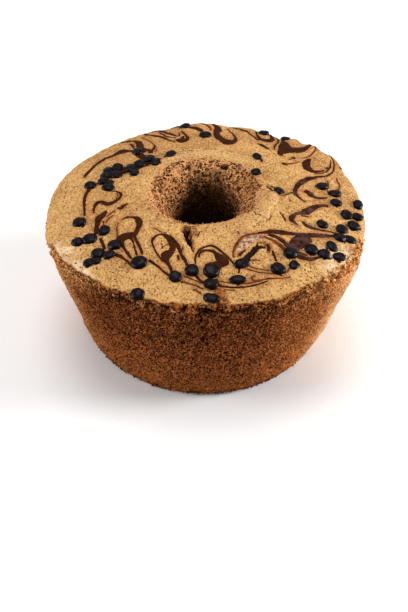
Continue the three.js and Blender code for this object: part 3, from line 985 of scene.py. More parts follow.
# The chocolate strokes on the skin, drawn with a skewer: points are x, y and half width
darkStrokes = {
    "leftHook": [
        [(-60, -20, .4), (-61.5, -24, 1.8), (-63.5, -27, 2.3), (-64, -32, 1.5), (-63.8, -38, 1.4),
         (-63.5, -42, 1.2)],
        [(-60.5, -45.5, .8), (-59, -49, .9), (-57.5, -53, .8), (-57, -55, .7)],
    ],
    "leftArch": [
        [(-49.5, -30, .4), (-47.5, -28, .7), (-44, -27.2, .9), (-41, -28.2, 1.5), (-39.2, -31, 2),
         (-38.6, -35, 1.7), (-39.3, -39, 1.3), (-40, -42.5, 1.6), (-42.5, -44.5, 2.6),
         (-46, -45.3, 3.2), (-48.5, -47, 3), (-47.8, -50, 2), (-46.5, -53.5, 1.1), (-44.5, -57, .9),
         (-42.5, -60.5, .8), (-40.5, -64, .6)],
        [(-43, -46.5, .8), (-41, -50, .5), (-39.8, -54, .4), (-38.7, -58, .5), (-37.5, -61.5, .5)],
        [(-40.5, -45.5, 1), (-39.5, -48.5, .8), (-37.5, -53, .7), (-35.6, -57.5, .7),
         (-34.8, -61, .7)],
        [(-53.5, -60, 1), (-50.5, -59.5, 1.1), (-47.5, -61.5, 1), (-44.5, -64, .8), (-41.5, -67, .7),
         (-40, -69, 1)],
        [(-30.5, -66, 1), (-28, -68, .8), (-25, -71, .6), (-22, -74.2, .6), (-19.5, -76.5, .6),
         (-17.5, -78.2, .6)],
    ],
    "frontDrop": [
        [(-24.5, -44.5, .6), (-27, -45.5, .6), (-29.3, -48, .9), (-29.7, -52, .5), (-28.5, -56, .45),
         (-26.8, -60, .4), (-24.8, -64, .4), (-22.5, -67, .5)],
        [(-26, -45, .7), (-23.5, -45, 1.2), (-21.3, -47.5, 1.5), (-19.3, -51, 1.6), (-17.9, -55, 1.8),
         (-18.5, -59, 2), (-20.8, -62, 3), (-21.5, -65, 2.4), (-20, -68, 1.1), (-18.5, -71.5, .8),
         (-17.2, -75, .7)],
        [(-21, -46, .8), (-18, -49.5, 1.2), (-15.5, -53.5, 1.2), (-13.8, -58, 1), (-12.5, -62.5, .9),
         (-10.5, -66.5, .9), (-9.3, -70, .8)],
        [(-14.8, -62.5, .5), (-13.8, -66.5, .5)],
    ],
    "frontArch": [
        [(-4.8, -69, .4), (-4.8, -64, .5), (-3.8, -60, .6), (-2, -57, .7), (.5, -55, .7),
         (3.5, -54.3, .7), (6.5, -55.5, .7), (9, -58.5, .7), (12, -62, .6), (15, -66, .5),
         (17.8, -70, .45), (19.3, -72, .4), (19, -75, .4)],
        [(-3, -64, .4), (-2.6, -61, .5), (-.5, -58.5, .8), (2, -58, 1), (4.5, -58.5, 1.2),
         (6.5, -60.5, 1.2), (8.5, -63.5, 2.5), (10.5, -67, 3.3), (9, -68.8, 2.6), (6, -69.8, 2.6),
         (3, -70.5, 2.2), (.5, -70.5, 1.2)],
        [(-8.5, -76, .9), (-4.5, -77.3, .7), (-2.5, -79.5, .7), (-.3, -81.5, .7), (1.5, -82.5, .6)],
        [(6.5, -79, .9), (7.6, -82, .7), (9.5, -83.6, .5), (14, -84, .5), (19, -84, .45),
         (24, -83.5, .4), (30, -81.5, .35), (35, -79.5, .3)],
        [(19.5, -62, 0.9), (21, -59.8, .7), (23, -57.5, .4)],
        [(35.8, -52.5, .6), (36.3, -55, .9), (36, -58, .6)],
        [(38.3, -57.5, .5), (39, -60.5, .6), (40.3, -64.8, .6)],
    ],
    "rightBand": [
        [(31, -42.8, .8), (35, -41.9, 1.3), (39, -40.7, 1.7), (43, -40.8, 2), (48, -41.3, 1.8),
         (53, -41.8, 1.5), (58, -42, 2), (63, -41.8, 2.2), (68, -41.3, 1.9), (73, -40.9, 1.3),
         (76, -40.5, 1)],
        [(59, -43, 2.5), (57.5, -46, 4.7), (53.5, -50, 4.8), (51, -54, 3.6), (50, -57, 2)],
        [(37, -43.5, 1.2), (41, -45.3, 1.3), (44, -48, 1.4), (46.5, -51, 1.5), (48, -54, 1.3)],
        [(52, -60, 1.5), (55, -61.3, 1.6), (59, -61.8, 1.4), (62.5, -61, 1), (65.5, -59.8, .6)],
        [(53, -57.2, .6), (55, -58.5, .7), (58, -59.3, .4)],
        [(58, -57, .4), (61, -58, .8), (63.5, -57.3, .4)],
        [(76, -10.5, 1), (72, -11, 1.5), (68, -13, 2), (65, -15.5, 2.6), (62.5, -18, 2.8),
         (60, -19.8, 2.4), (57, -20.8, 1.2), (54.5, -22, 1.2), (52.3, -25, 1.7), (51.8, -28, 1.5),
         (53.3, -30.5, 1), (54.8, -32.5, .6)],
        [(58, -23, .6), (62.5, -24, .5)],
        [(58.5, -28.5, 1), (59.5, -31, 1), (61.5, -33.3, 1.6), (64, -34.8, 1.3), (68, -35.7, 1),
         (72, -36.3, .8), (76, -37.3, .7)],
    ],
    "rightCurve": [
        [(84.5, 61, .3), (85, 58, .4), (86.3, 53, .4), (87.3, 48, .4), (87.5, 43, .4), (87, 38, .5),
         (85.8, 33, .5), (83.6, 28.6, .6), (80.5, 25, .8), (77, 22.5, 1), (73, 21, 1), (71, 19.8, 1.2),
         (67.5, 18, 2), (63.5, 14.5, 2.2), (60, 10.5, 1.8), (57.5, 6, 1.5), (56.6, 2, 1.2),
         (57.5, -2, .9), (59.5, -5.5, .7), (62, -8.5, .4)],
        [(72, 25.5, .4), (76, 26.4, .5), (79.5, 28.9, .5), (81.8, 32, .5), (83.7, 36, .5),
         (85, 41, .4), (85.5, 46, .3)],
        [(71.5, 45, .8), (69.5, 42.5, 1.8), (68, 39, 2.5), (67.3, 35, 2.8), (67.8, 31.5, 2.9),
         (69.5, 28.8, 2.6), (72.5, 28.2, 1.8), (76, 29.2, 1), (79, 30.8, .7)],
        [(63, 3.5, 1.6), (65.5, 1.5, 1.8), (67, -1.5, 1.8), (69.5, -3.2, 1.2), (73, -3.5, .9),
         (76.5, -2.5, .7)],
        [(80.3, 33.4, .5), (81.5, 34.2, .9), (82.5, 34.8, .5)],
        [(51, 35, .8), (53, 34, 1.4), (52.5, 32.5, 1.3)],
        [(57.8, 44.2, .7), (59.5, 44.5, 1.4), (61, 44.6, .6)],
        [(91, 38.6, .6), (92, 38, 1.2), (93, 37.2, .5)],
        [(48, -3, .4), (51, -1.5, .5), (53.5, 0, .3)],
        [(41.5, 6.5, .7), (43.5, 4.8, .4)],
    ],
    "backTail": [
        [(55, 75, .8), (55, 71, 1.5), (55.2, 66, 3), (55.5, 61, 5), (55.5, 57, 5.3), (53, 53, 3.8),
         (51, 50, 2), (51.5, 46.5, 1)],
        [(57, 57, 5), (62, 56.8, 4.3), (66, 57.8, 3.4), (69.5, 60.5, 2.3), (72.3, 64.5, 1.5),
         (74.7, 69, .9)],
        [(36.5, 88, .5), (36.5, 84, .5), (37, 80, .8), (38, 76, 1.4), (40, 73, 2.5), (43.5, 72, 3),
         (46.5, 74, 2.2), (47.8, 78, 1.6), (47.6, 82, 1.2), (46.8, 86, .9)],
        [(50.5, 83, .5), (52, 79, .5), (52, 74, .6), (51, 69, .6), (49, 64, .6), (47.6, 59, .6),
         (47.5, 55, .4)],
        [(19, 95, .5), (21.5, 92, .9), (24, 90, .9), (26.5, 87, 1.1), (28.5, 86.3, 1.3),
         (30, 84.5, .8), (33, 79.5, .7), (35.5, 74.5, .7), (37, 70.5, .6)],
        [(36.5, 64.5, .4), (38.5, 62.5, 1.3), (40.5, 60, 1.2), (42.5, 57, 1), (43.5, 55.5, .4)],
    ],
    "backLoop": [
        [(4.5, 97.5, 1.2), (6.5, 94, 1.8), (8, 90, 2.5), (7.8, 85, 2.8), (7, 80, 2.3), (7.8, 75, 2.5),
         (10, 70.5, 3), (12.5, 67.5, 3.4), (15.5, 64.8, 4.4), (18.8, 66, 2.6), (20.5, 69.5, 1.5),
         (21, 72, 1), (20.2, 76, .7), (19, 80, .5), (17.5, 84, .4), (16, 88, .35), (15.5, 90.5, .3)],
        [(-13, 91, 1.2), (-10.5, 89.3, 1.8), (-7.5, 87.5, 2), (-5, 85, 1.8), (-3.5, 82, 1.3)],
        [(-28.5, 97, .6), (-25.5, 96.8, 1.2), (-22.5, 95.5, 1.4), (-20.5, 93, 1.1), (-20, 90, .5)],
        [(-18.8, 83, .8), (-17, 80, .8), (-15.5, 76.5, .8), (-14, 72.5, 1.1), (-13.8, 69.5, 1.4),
         (-17.5, 67, 3.4), (-21.5, 68.8, 1.6)],
        [(-16.8, 74, .8), (-17.5, 71, 1.3), (-17.5, 68, 2)],
        [(-45.8, 84, 1), (-44, 81.5, 1.2), (-41, 80, 1.2), (-37.5, 78, 1.4), (-34, 76.5, 1.3),
         (-31, 73.5, 1.2), (-29, 70.5, 1), (-27, 68, .8), (-24.5, 65.8, .8), (-22.5, 65.5, 1)],
        [(-42.5, 91, 1.5), (-38.5, 91.5, 1.6), (-35.5, 90, 1.5), (-33, 87.5, 1.4), (-30.5, 84.5, 1.4),
         (-28, 81.5, 1.5), (-25, 78.5, 1.2), (-22.5, 76, .9), (-20.5, 75.3, .7), (-20, 77.5, .5),
         (-20.3, 80.5, .4)],
        [(-35, 85.5, .4), (-33.5, 82.5, .7), (-31.5, 79.5, .8), (-29.5, 76.5, .8), (-27, 74, .8),
         (-24.5, 72.5, .7), (-22.5, 71.5, .7)],
    ],
    "backLeft": [
        [(-62, 70.5, 1), (-59, 71.5, 1), (-55.5, 71.8, 1.2), (-52, 70.8, 1.3), (-49.2, 68, 2),
         (-47.8, 64.5, 2.4), (-47, 60.5, 2.6), (-46, 56.5, 2.2), (-44.5, 52.5, 1.6), (-42.5, 49, 1.2)],
        [(-44.8, 57, .9), (-42.8, 54.5, 1.2), (-40.3, 52.5, 1.5), (-38.5, 50.5, 1.5),
         (-38.3, 47.5, 1.5)],
        [(-37, 62, .4), (-36.5, 58, .7), (-36.8, 54.5, 1), (-38, 52, 1.3)],
        [(-54.8, 67, .5), (-53.5, 63.5, .5), (-52, 60, .5), (-51, 56.5, .4)],
        [(-80.3, 20.5, .5), (-79.8, 24, 1.2), (-78.8, 27.5, 1.3), (-77, 32, 1.2), (-75.3, 36.5, 1.1),
         (-73, 41, 1.2), (-70, 45, 1.3), (-66.5, 48, 1.4), (-63, 50.8, 1.7), (-59, 54, 3.3),
         (-56, 53.8, 2.4), (-53.5, 53.4, 1.8), (-50.5, 52.5, 1.6)],
        [(-74.5, 6, 1.4), (-74.8, 2.5, 1.2), (-75.6, -1.5, 1.1), (-75.8, -6, .9), (-75.2, -11, .8),
         (-74.3, -16, .6), (-73.5, -21, .5), (-73.2, -24, .5)],
        [(-36, 38, 2), (-33, 39, 2), (-30.5, 39.8, .8)],
        [(-49, 50, 2), (-45, 45, 3), (-39, 38, 3.6), (-44, 32, 4), (-50, 27, 4), (-60, 25, 4.2),
         (-64, 17, 3)],
        [(-29, 41.5, 1.2), (-25, 44.5, 2.2), (-21.5, 47, 1.4)],
    ],
    "leftCurl": [
        [(-61.5, 1, .3), (-58, .8, .5), (-55.5, 0, .6), (-53.4, -2.5, .8), (-53, -5.5, .8),
         (-54.2, -8.5, .9), (-56.5, -11.2, 1.3), (-59.5, -13, 1.7), (-62.3, -12, 1.7),
         (-64.3, -10.2, 1.5), (-66.6, -11, 1.5), (-67.8, -14, 1.1), (-68, -18, .6), (-67.6, -22, .4)],
        [(36.5, 41, .9), (37.5, 38.5, .8), (37.3, 36.5, .4)],
        [(-53.9, -17.5, .4), (-51.4, -18.2, 1.1), (-49.8, -15.7, .9), (-47.9, -13.8, .3)],
    ],
}
faintStrokes = {
    "left": [
        [(-61, -30, .4), (-60, -34, .5), (-60.2, -38, .3)],
        [(-51.5, -33, .3), (-51.8, -37, .35), (-51, -41, .4), (-50.6, -44.5, .4)],
        [(-71, 11, 1), (-68.5, 10.7, 1.2), (-66.5, 10.5, 1.1)],
        [(-73, 7.6, .5), (-72, 7, .8), (-71, 6.4, .4)],
        [(-55.8, -1.5, .3), (-55, -4.5, .3), (-55.6, -8, .3)],
        [(-59, -26.1, .3), (-57, -22.8, .5), (-54.8, -20.5, .3)],
        [(-58.9, -31.7, .4), (-57.5, -28.1, .4), (-55.5, -24.8, .3)],
        [(-31.5, -38.1, .2), (-28.5, -39.3, .3), (-25.3, -42.3, .3), (-21.8, -43.3, .2)],
    ],
    "front": [
        [(-12, -80.7, .5), (-8, -82, .5), (-4, -83.5, .45), (0, -85.3, .4)],
        [(-11, -77.5, .3), (-6, -79.5, .3), (-1, -82, .3)],
        [(-5, -85.5, .3), (-2.5, -87.3, .4), (-1, -88.5, .3)],
        [(8, -80.5, .3), (13, -81.3, .35), (19, -81.8, .35), (25, -81, .35), (31, -79.8, .3)],
        [(11, -85.8, .25), (17, -85.7, .25)],
        [(26.5, -79.2, .5), (26.2, -77.3, .5), (27.8, -76, .4)],
        [(26.5, -79.3, .5), (29, -79.5, .6), (32, -78.6, .5), (37, -77.6, .45), (42, -77, .35),
         (47, -75.6, .3)],
        [(22, -71, .3), (26, -72.5, .35), (31, -73.8, .35), (37, -74.2, .35), (42, -73.7, .35),
         (45, -72.6, .4), (46.6, -71, .35), (46.8, -69.5, .3)],
        [(24.5, -69.5, .3), (28, -70.8, .3), (32, -71.7, .3), (36, -71.8, .3)],
        [(26.5, -65.5, .5), (28.5, -64.7, .5), (31, -65.3, .3)],
        [(16.5, -64, .4), (16.3, -60, .5), (17, -56.7, .7), (18.3, -52.8, .8), (20.5, -48.5, .8),
         (23.5, -45.3, .7), (27, -43.8, .6), (31, -43.2, .7)],
        [(19.5, -41, .4), (20, -44, .4)],
    ],
    "right": [
        [(34, -46, .7), (38, -48, .9), (41.5, -51, 1.2), (44, -54, 1.4), (45.5, -57, 1)],
        [(79.5, 17.5, .4), (79.5, 14, .4), (78.8, 9, .5)],
        [(87, 24, .3), (86.3, 20, .4), (87.2, 16, .5), (86.5, 11, .5), (84.5, 8, .6)],
        [(54.5, 34.8, .8), (57, 35.3, .6), (60, 37.5, .4), (63, 39.5, .3)],
        [(56, 41.5, .5), (57, 42, .8), (58.2, 42.3, .4)],
        [(78, 66, .4), (77, 61, .5), (75, 56, .6), (72.5, 51.5, .6), (70, 48, .5), (66, 45, .3)],
    ],
    "back": [
        [(-6, 98.5, .8), (-3, 97.5, 1.2), (-1, 95.5, 1), (1, 92.5, 1), (2.5, 89, .9), (3.2, 85, .6)],
        [(-47.5, 78, .3), (-45, 73.5, .3), (-42.5, 70.5, .3), (-40, 67, .4), (-37.8, 62.5, .4)],
        [(-53, 66, .4), (-51.8, 62.5, .4), (-50.8, 59.5, .4)],
        [(-34.8, 55, .25), (-35, 49, .25)],
    ],
}
# Cracks and wrinkles in the skin: points are x, y and half width
creases = {
    "behindHole": [
        [(-18.2, 47.9, .7), (-10.5, 50.0, .8), (-5, 51.2, .9), (.5, 52.0, .9), (6, 53, .9),
         (11.5, 53.9, .7)],
    ],
    "besideHole": [
        [(30.3, -20.4, .5), (31.8, -24.8, .6), (33.5, -25.8, .6), (35.2, -27.7, .6), (36.9, -29, .4)],
        [(41.7, -19.9, .3), (40.9, -24.1, .5), (39.4, -28.3, .7), (36.2, -31.5, .5), (33.8, -32.2, .4),
         (31.2, -35.3, .4), (28.8, -38.4, .6)],
        [(45.7, -20.5, .4), (47, -23.3, .7), (47.9, -27.3, .8), (49.4, -31, .7), (51.6, -32.2, .5),
         (54.4, -34.3, .4), (57.1, -37, .4)],
        [(52.3, -4.2, .4), (52.8, -8.7, .6), (51.4, -14.1, .5), (49.2, -18.2, .5)],
        [(39.8, 7, .6), (42.1, 3.9, .8), (43.8, .4, .6), (44.8, -3.7, .5), (46.2, -9.2, .4)],
        [(49.5, .2, .7), (52.1, 1.5, .8), (54.6, 1.1, .7), (56.7, -3.8, .4)],
    ],
    "inLoop": [
        [(-24.8, -52.5, .7), (-23.8, -55.3, 1.0), (-25.2, -57.2, .6)],
        [(-22.8, -54.8, .5), (-20.8, -52.6, .5)],
    ],
    "byGash": [
        [(-2.6, -41.5, .5), (-3.4, -45, .6), (-4.6, -49, .5)],
        [(-12.2, -54, .6), (-12.6, -58, .7)],
    ],
}


# A marbled smear of half mixed chocolate, and smooth stains
smears = {
    "besideArch": [
        [(20.5, -58, 2), (22, -52.5, 3.4), (24.5, -48.5, 3.8), (28.5, -46.6, 3.2), (34, -46, 1.8)],
    ],
}
stains = {
    "rightRim": [[(80, -45, 1), (82, -49.5, 2.8), (83.5, -54, 1.5)]],
    "heap": [[(-62, 12, 2), (-58, 24, 3), (-48, 31, 3), (-41, 42, 2.5), (-27, 45, 1.5)]],
}
# A gap torn open behind the front chip
gaps = {
    "frontLoop": [
        [(22.5, -65, 2.2), (24.8, -62, 2.2), (27, -59, 2.0), (28.8, -56.6, 1.9), (31, -55, 1.6),
         (34, -54.6, 1.1)],
        [(29.6, -54, 1.2), (30, -51.6, .7)],
    ],
}
# Where small pieces of the skin are gone
tornPatches = {
    "frontLoop": [[(30.5, -50.5, 1.0), (34, -51.5, 1.4), (36.5, -54.5, 1.0), (37, -57.5, .6)]],
    "frontChip": [[(7.5, -84.5, 0.8), (9.2, -88.5, 2.0), (9.5, -93, 3.0)]],
    "gashEdge": [[(-6.8, -38, 1.2), (-5.4, -42, 1.6), (-5.6, -47, 1.0)]],
}


# each half width becomes `widen` larger, and at least `thinnest`
strokeSetup = {"steps": 6, "widen": 0.12, "thinnest": 0.2, "margin": 2.0}


# A smooth line through the points
def smoothLine(points, steps):
    points = np.array(points, float)
    padded = np.vstack([2 * points[0] - points[1], points, 2 * points[-1] - points[-2]])
    line = []
    for k in range(len(points) - 1):
        a, b, c, d = padded[k:k + 4]
        for t in np.arange(steps) / steps:
            cubic = (2 * b + (c - a) * t + (2 * a - 5 * b + 4 * c - d) * t ** 2
                     + (3 * b - a - 3 * c + d) * t ** 3)
            line.append(cubic / 2)
    line.append(points[-1])
    line = np.array(line)
    line[:, 2] = np.maximum(line[:, 2] + strokeSetup["widen"], strokeSetup["thinnest"])
    return line


# Points beyond the rim are drawn in to `margin` inside it
def insideRim(line):
    angle = np.degrees(np.arctan2(line[:, 1], line[:, 0]))
    radius = np.hypot(line[:, 0], line[:, 1])
    limit = cakeForm["rimRadius"] + rimOut(angle) - strokeSetup["margin"] - 3.5 * tornEdge(angle)
    line[:, :2] *= np.minimum(1, limit / radius)[:, None]
    return line


def linesOf(strokes):
    every = [stroke for group in strokes.values() for stroke in group]
    return [insideRim(smoothLine(stroke, strokeSetup["steps"])) for stroke in every]


darkLines = linesOf(darkStrokes)
faintLines = linesOf(faintStrokes)
creaseLines = linesOf(creases)
smearLines = linesOf(smears)
stainLines = linesOf(stains)
patchLines = linesOf(tornPatches)
gapLines = linesOf(gaps)


# The baked skin: a thin shell over the top, feathered at the hole, curled over the rim
# and torn off square along the front
skinPiece = {
    "steps": 720,
    "mouthRows": 8,
    "topRows": 62,
    "rimRows": 20,
    "underStep": 6,      # rows of the surface for one of the underside
    "thickness": 1.6,
    "above": 0.12,       # of the crumb, where the skin feathers out
    "curl": 13.5,        # how far it goes over the rim, from 8 mm inside it
    "tornAt": 5.2,       # and where it is torn
    "dimple": 0.26,
    "creaseDepth": 0.6,
    "collarRise": 0.8,
    "gapDepth": 0.8,
    "stainReach": 2.6,
}


# Position along the rim, in millimetres from 8 mm inside it: radius and height
def rimPath(along):
    bend = cakeForm["rimRounding"]
    flat = pathStart + np.minimum(along, bend)
    turn = np.clip((along - bend) / bend, 0, np.pi / 2)
    down = np.maximum(along - bend * (1 + np.pi / 2), 0)
    level = cakeForm["bendTop"] - bend - down
    radius = np.where(along < bend, flat, pathStart + bend + bend * np.sin(turn))
    height = np.where(along < bend, plainTop(flat), level + bend * np.cos(turn))
    # the bend ends 0.41 mm outside the side, which is taken up in 3 mm
    radius = np.where(down > 0, sideRadius(level) + 0.41 * (1 - smooth(0, 3, down)), radius)
    return radius, np.where(down > 0, level, height)


def distanceToLines(x, y, lines):
    samples = np.vstack(lines)
    tree = kdtree.KDTree(len(samples))
    for k, (px, py, half) in enumerate(samples):
        tree.insert((px, py, 0), k)
    tree.balance()
    away = np.zeros(x.size)
    for k, (px, py) in enumerate(zip(x.ravel(), y.ravel())):
        index, distance = tree.find((px, py, 0))[1:]
        away[k] = distance - samples[index, 2]
    return away.reshape(x.shape)


# 1 on the lines and 0 away from them, soft between the distances low and high
def onLines(x, y, lines, low, high, ragged=0):
    return 1 - smooth(low, high, distanceToLines(x, y, lines) + ragged)


# Where the skin starts round the bend of the hole, in degrees, and ends on the rim's path
def skinEnds(angle, ux, uy):
    start = 73 + 4.5 * mouthReach(angle)
    start = start + 5 * lumps(ux * 35, uy * 35, 0, 9) + 5 * lumps(ux * 35, uy * 35, 3, 2.5)
    rimX, rimY = ux * cakeForm["rimRadius"], uy * cakeForm["rimRadius"]
    curled = skinPiece["curl"] + 1.6 * lumps(rimX, rimY, 0, 14) + 1.0 * lumps(rimX, rimY, 0, 4)
    ragged = 0.9 * lumps(rimX, rimY, 5, 3.4) + 0.6 * lumps(rimX, rimY, 8, 1.6)
    torn = smooth(0, 0.5, skinTorn(angle))
    return np.minimum(start, 88.5), curled * (1 - torn) + (skinPiece["tornAt"] + ragged) * torn


# The skin's rows from the hole to its outer edge: radius and height
def skinRows(angle, start, end):
    look = skinPiece
    rows = []
    for step in range(look["mouthRows"]):
        rows.append(mouthPoint(np.radians(start + (90 - start) * step / look["mouthRows"])))
    for r in np.linspace(cakeForm["mouthRadius"], pathStart, look["topRows"], endpoint=False):
        rows.append((np.full_like(angle, r), np.full_like(angle, plainTop(r))))
    for step in range(look["rimRows"] + 1):
        rows.append(rimPath(end * step / look["rimRows"]))
    return [np.concatenate(part) for part in zip(*rows)]


# Dimples, wrinkles and the collar in millimetres, then wrinkles, collar and gaps from 0 to 1
def skinRelief(radius, angle, x, y):
    look = skinPiece
    dimples = look["dimple"] * (lumps(x, y, 0, 4.2) + 0.6 * lumps(x, y, 5, 2.1))
    crease = onLines(x, y, creaseLines, -0.5, 0.3) * smooth(-0.6, 0.1, lumps(x, y, 1, 2.6))
    # round the hole the skin stands a little higher, as far as its creases
    edge = 46.5 + 6.5 * bell(angle, 94, 60) + 1.2 * lumps(x, y, 0, 9) + 0.5 * lumps(x, y, 3, 3)
    collar = smooth(0.7, -0.7, radius - edge) * smooth(40, 43, radius)
    collar = collar * np.maximum(bell(angle, -22, 46), bell(angle, 94, 50)) ** 0.5
    opened = onLines(x, y, gapLines, -0.8, 0.2, 0.7 * lumps(x, y, 2, 1.6))
    relief = dimples - look["creaseDepth"] * crease + look["collarRise"] * collar
    return relief, crease, collar, opened


# The gash itself, and the torn skin along it
def gashCut(x, y):
    along, across, half = gashPlace(x, y)
    cut = np.where(half > 0.05, 1 - smooth(0.35, 1.0, across / np.maximum(half, 0.05)), 0)
    beside = smooth(-0.05, 0.1, along) * smooth(1.05, 0.8, along)
    beside = beside * (1 - smooth(0.0, 1.4, across - half))
    return cut, beside * smooth(-0.3, 0.3, lumps(x, y, 3, 2.2))


# Stained skin near the strokes, crumbly skin at the hole, smears, and small torn patches
def skinStains(radius, angle, x, y, flat):
    stain = onLines(x, y, darkLines + faintLines, 0, skinPiece["stainReach"]) * 0.7 * flat
    crumbly = radius - mouthReach(angle) + 1.8 * lumps(x, y, 4, 5) + 1.0 * lumps(x, y, 8, 2)
    smear = onLines(x, y, smearLines, -1.0, 0.8, 0.9 * lumps(x, y, 2, 2.4))
    patches = onLines(x, y, patchLines, -0.6, 0.6, 1.4 * lumps(x, y, 6, 2.0))
    stain = np.maximum(stain, onLines(x, y, stainLines, -2.0, 2.0))
    return stain, smooth(40.8, 34.8, crumbly), smear, patches


def makeSkin():
    look = skinPiece
    steps = look["steps"]
    direction = turnsOf(steps)
    angle = np.degrees(direction)
    ux, uy = np.cos(direction), np.sin(direction)
    torn = skinTorn(angle)
    start, end = skinEnds(angle, ux, uy)
    radius, height = skinRows(angle, start, end)
    rows = np.arange(len(radius))
    ahead = np.gradient(np.stack([radius, height]), axis=1)
    ahead /= np.linalg.norm(ahead, axis=0) + 1e-9
    outR, outZ = -ahead[1], ahead[0]
    x, y = radius * ux, radius * uy
    along = np.clip((rows - look["mouthRows"] - look["topRows"]) / look["rimRows"], 0, 1)[:, None]
    fromMouth = np.clip(rows / (look["mouthRows"] + 4), 0, 1)[:, None]
    flat = smooth(84, 90, height)

    out, lift = unevenness(radius, height, direction)
    wander = lumps(ux * 60, uy * 60, 2, 5)
    out = out + torn * (0.6 + cakeForm["tornRagged"] * wander) * smooth(0, 0.8, along)
    relief, crease, collar, opened = skinRelief(radius, angle, x, y)
    cut, gashEdge = gashCut(x, y)
    proud = look["above"] + relief * np.minimum(fromMouth * 2, 1) - look["gapDepth"] * opened
    surfaceR = radius + out + proud * outR
    surfaceZ = height + lift + proud * outZ - gash["depth"] * cut * flat

    # the shell's underside has fewer rows, and runs back to the hole
    feather = 0.25 + 0.75 * smooth(0, 0.7, fromMouth)
    lip = np.where(torn > 0.3, 1 - 0.5 * along, 0.25 + 0.75 * smooth(1, 0.5, along))
    thick = look["thickness"] * feather * lip
    keep = [k for k in rows[::-1] if k % look["underStep"] == 0 or k == rows[-1]]
    allR = np.concatenate([surfaceR, (surfaceR - thick * outR)[keep]])
    allZ = np.concatenate([surfaceZ, (surfaceZ - thick * outZ)[keep]])
    points = np.stack([allR * ux, allR * uy, allZ], axis=-1).reshape(-1, 3)

    stain, crumbly, smear, patches = skinStains(radius, angle, x, y, flat)
    # the orange band where the skin bends down, and the broken edge
    rim = smooth(0.35, 0.9, along * end / look["curl"]) * np.ones_like(angle)
    broken = smooth(0.75, 1.0, along) * smooth(0.15, 0.5, torn)
    broken = np.maximum(np.maximum(broken, gashEdge), patches)
    # on the surface, and on the underside
    shades = {
        "stain": (stain, 0.0),
        "mouth": (crumbly, 0.0),
        "rim": (rim, 1.0),
        "torn": (broken, 1.0),
        "smear": (smear, 0.0),
        "cut": (cut * flat + np.maximum(0.75 * crease, opened), 0.0),
        "collar": (collar, 0.0),
    }
    values = {
        name: np.concatenate([above, np.full((len(keep), steps), below)])
        for name, (above, below) in shades.items()
    }
    rings = len(allR)
    faces = tubeFaces(0, rings, steps) + ringFaces((rings - 1) * steps, 0, steps)
    return closedMesh("cake_skin", points, faces, values, skinMaterial)


skin = makeSkin()
print("skin is made:", len(skin.data.polygons), "faces")

# Chips: x, y, size, stretch and the turn of the stretch in degrees
chips = [
    (-47.5, 50.5, 1, 1.2, 95), (-38.7, 40, 1.05, 1.2, 90), (-34, 34.5, .9), (-44.5, 32.5, 1.05),
    (-49.7, 27.5, 1.05, 1.2, 80), (-47, 21.5, .85), (-59, 29.5, 1, 1.15, 95),
    (-58.5, 20, 1, 1.1, 80), (-65.5, 27, .9, 1.2, 90), (-65.5, 19.5, 1), (-66.5, 13, .95),
    (-62.3, 10, .8), (-62.2, 4.5, .9, 1.2, 0), (-74.3, 8.3, 1), (-75, -30, 1.05),
    (-59, -39.5, .95, 1.15, 60), (-66.5, -46, 1.1), (-73.5, -47.3, .95), (-51.5, -52, 1.02),
    (-60, -58.4, 1), (-53.5, -60, .85), (-64.5, -65, .8), (-60, -64.3, .7), (-36, -67.6, 1.15),
    (-15.5, -78.4, .88), (-35, -89.3, .98), (-6.5, -74, .98), (4.3, -74.5, 1.14),
    (3.8, -82.8, .9, 1.1, 0), (4.2, -91.4, .92, 1.25, -20), (18.2, -79.3, .85, 1.4, 0),
    (21, -68, .95, 1.2, 40), (40.7, -70.5, 1.05), (48.6, -58.6, 1.06), (49.7, -67, .75, 1.2, 70),
    (60.5, -54.5, 1.05), (67.6, -57.4, .97), (73, -50.6, .9, 1.2, 110), (76.3, -58, .92),
    (79, -41.2, 1.02), (85.2, -41.5, .95), (81.5, -33.2, 1.02), (70, -30.5, .9),
    (86.5, -18, 1, 1.15, 95), (89.5, -27.7, 1.05), (93, -18.5, .95), (96, -5, .9, 1.3, 80),
    (82, 3, 1, 1.15, 30), (81.5, -7, .95), (75, 10, 1.02), (46, 2, .8, 1.25, 100),
    (32.8, 22.5, .85), (34.5, 43, .8, 1.2, 110), (42, 85.5, .95), (57.5, 77.5, .9),
    (-1, 75.5, 1.1), (-16.5, 92.5, 1), (-24.5, 45, .95, 1.2, 70),
]
# the top's slope is read `reach` millimetres to each side, and a chip is lifted by `lift`
chipSetup = {"reach": 3.0, "lift": 0.35}
chipPiece = {
    "Radius": 4.1 * mm,
    "Height": 2.0 * mm,
    "Sunk": 1.6 * mm,
    "Sides": 30,
    "Tilt": 0.16,
    "Uneven": 1.4 * mm,
    "Seed": 7,
    "Chocolate": chipMaterial,
}


def chipPoints():
    reach = chipSetup["reach"]
    rows = [(*chip, *(1, 0)[len(chip) - 3:]) for chip in chips]
    x, y, size, stretch, turn = np.array(rows, float).T
    slopeX = (topHeight(x + reach, y) - topHeight(x - reach, y)) / (2 * reach)
    slopeY = (topHeight(x, y + reach) - topHeight(x, y - reach)) / (2 * reach)
    normal = np.stack([-slopeX, -slopeY, np.ones_like(x)], axis=1)
    normal /= np.linalg.norm(normal, axis=1)[:, None]
    centre = np.stack([x, y, topHeight(x, y)], axis=1) + normal * chipSetup["lift"]
    mesh = bpy.data.meshes.new("chipPoints")
    mesh.from_pydata((centre * mm).tolist(), [], [])
    vectorField(mesh, "lean", normal)
    vectorField(mesh, "shape", np.stack([size * stretch, size / np.sqrt(stretch), size], axis=1))
    numberField(mesh, "turn", np.radians(turn))
    return finishedPiece("chipPoints", mesh)


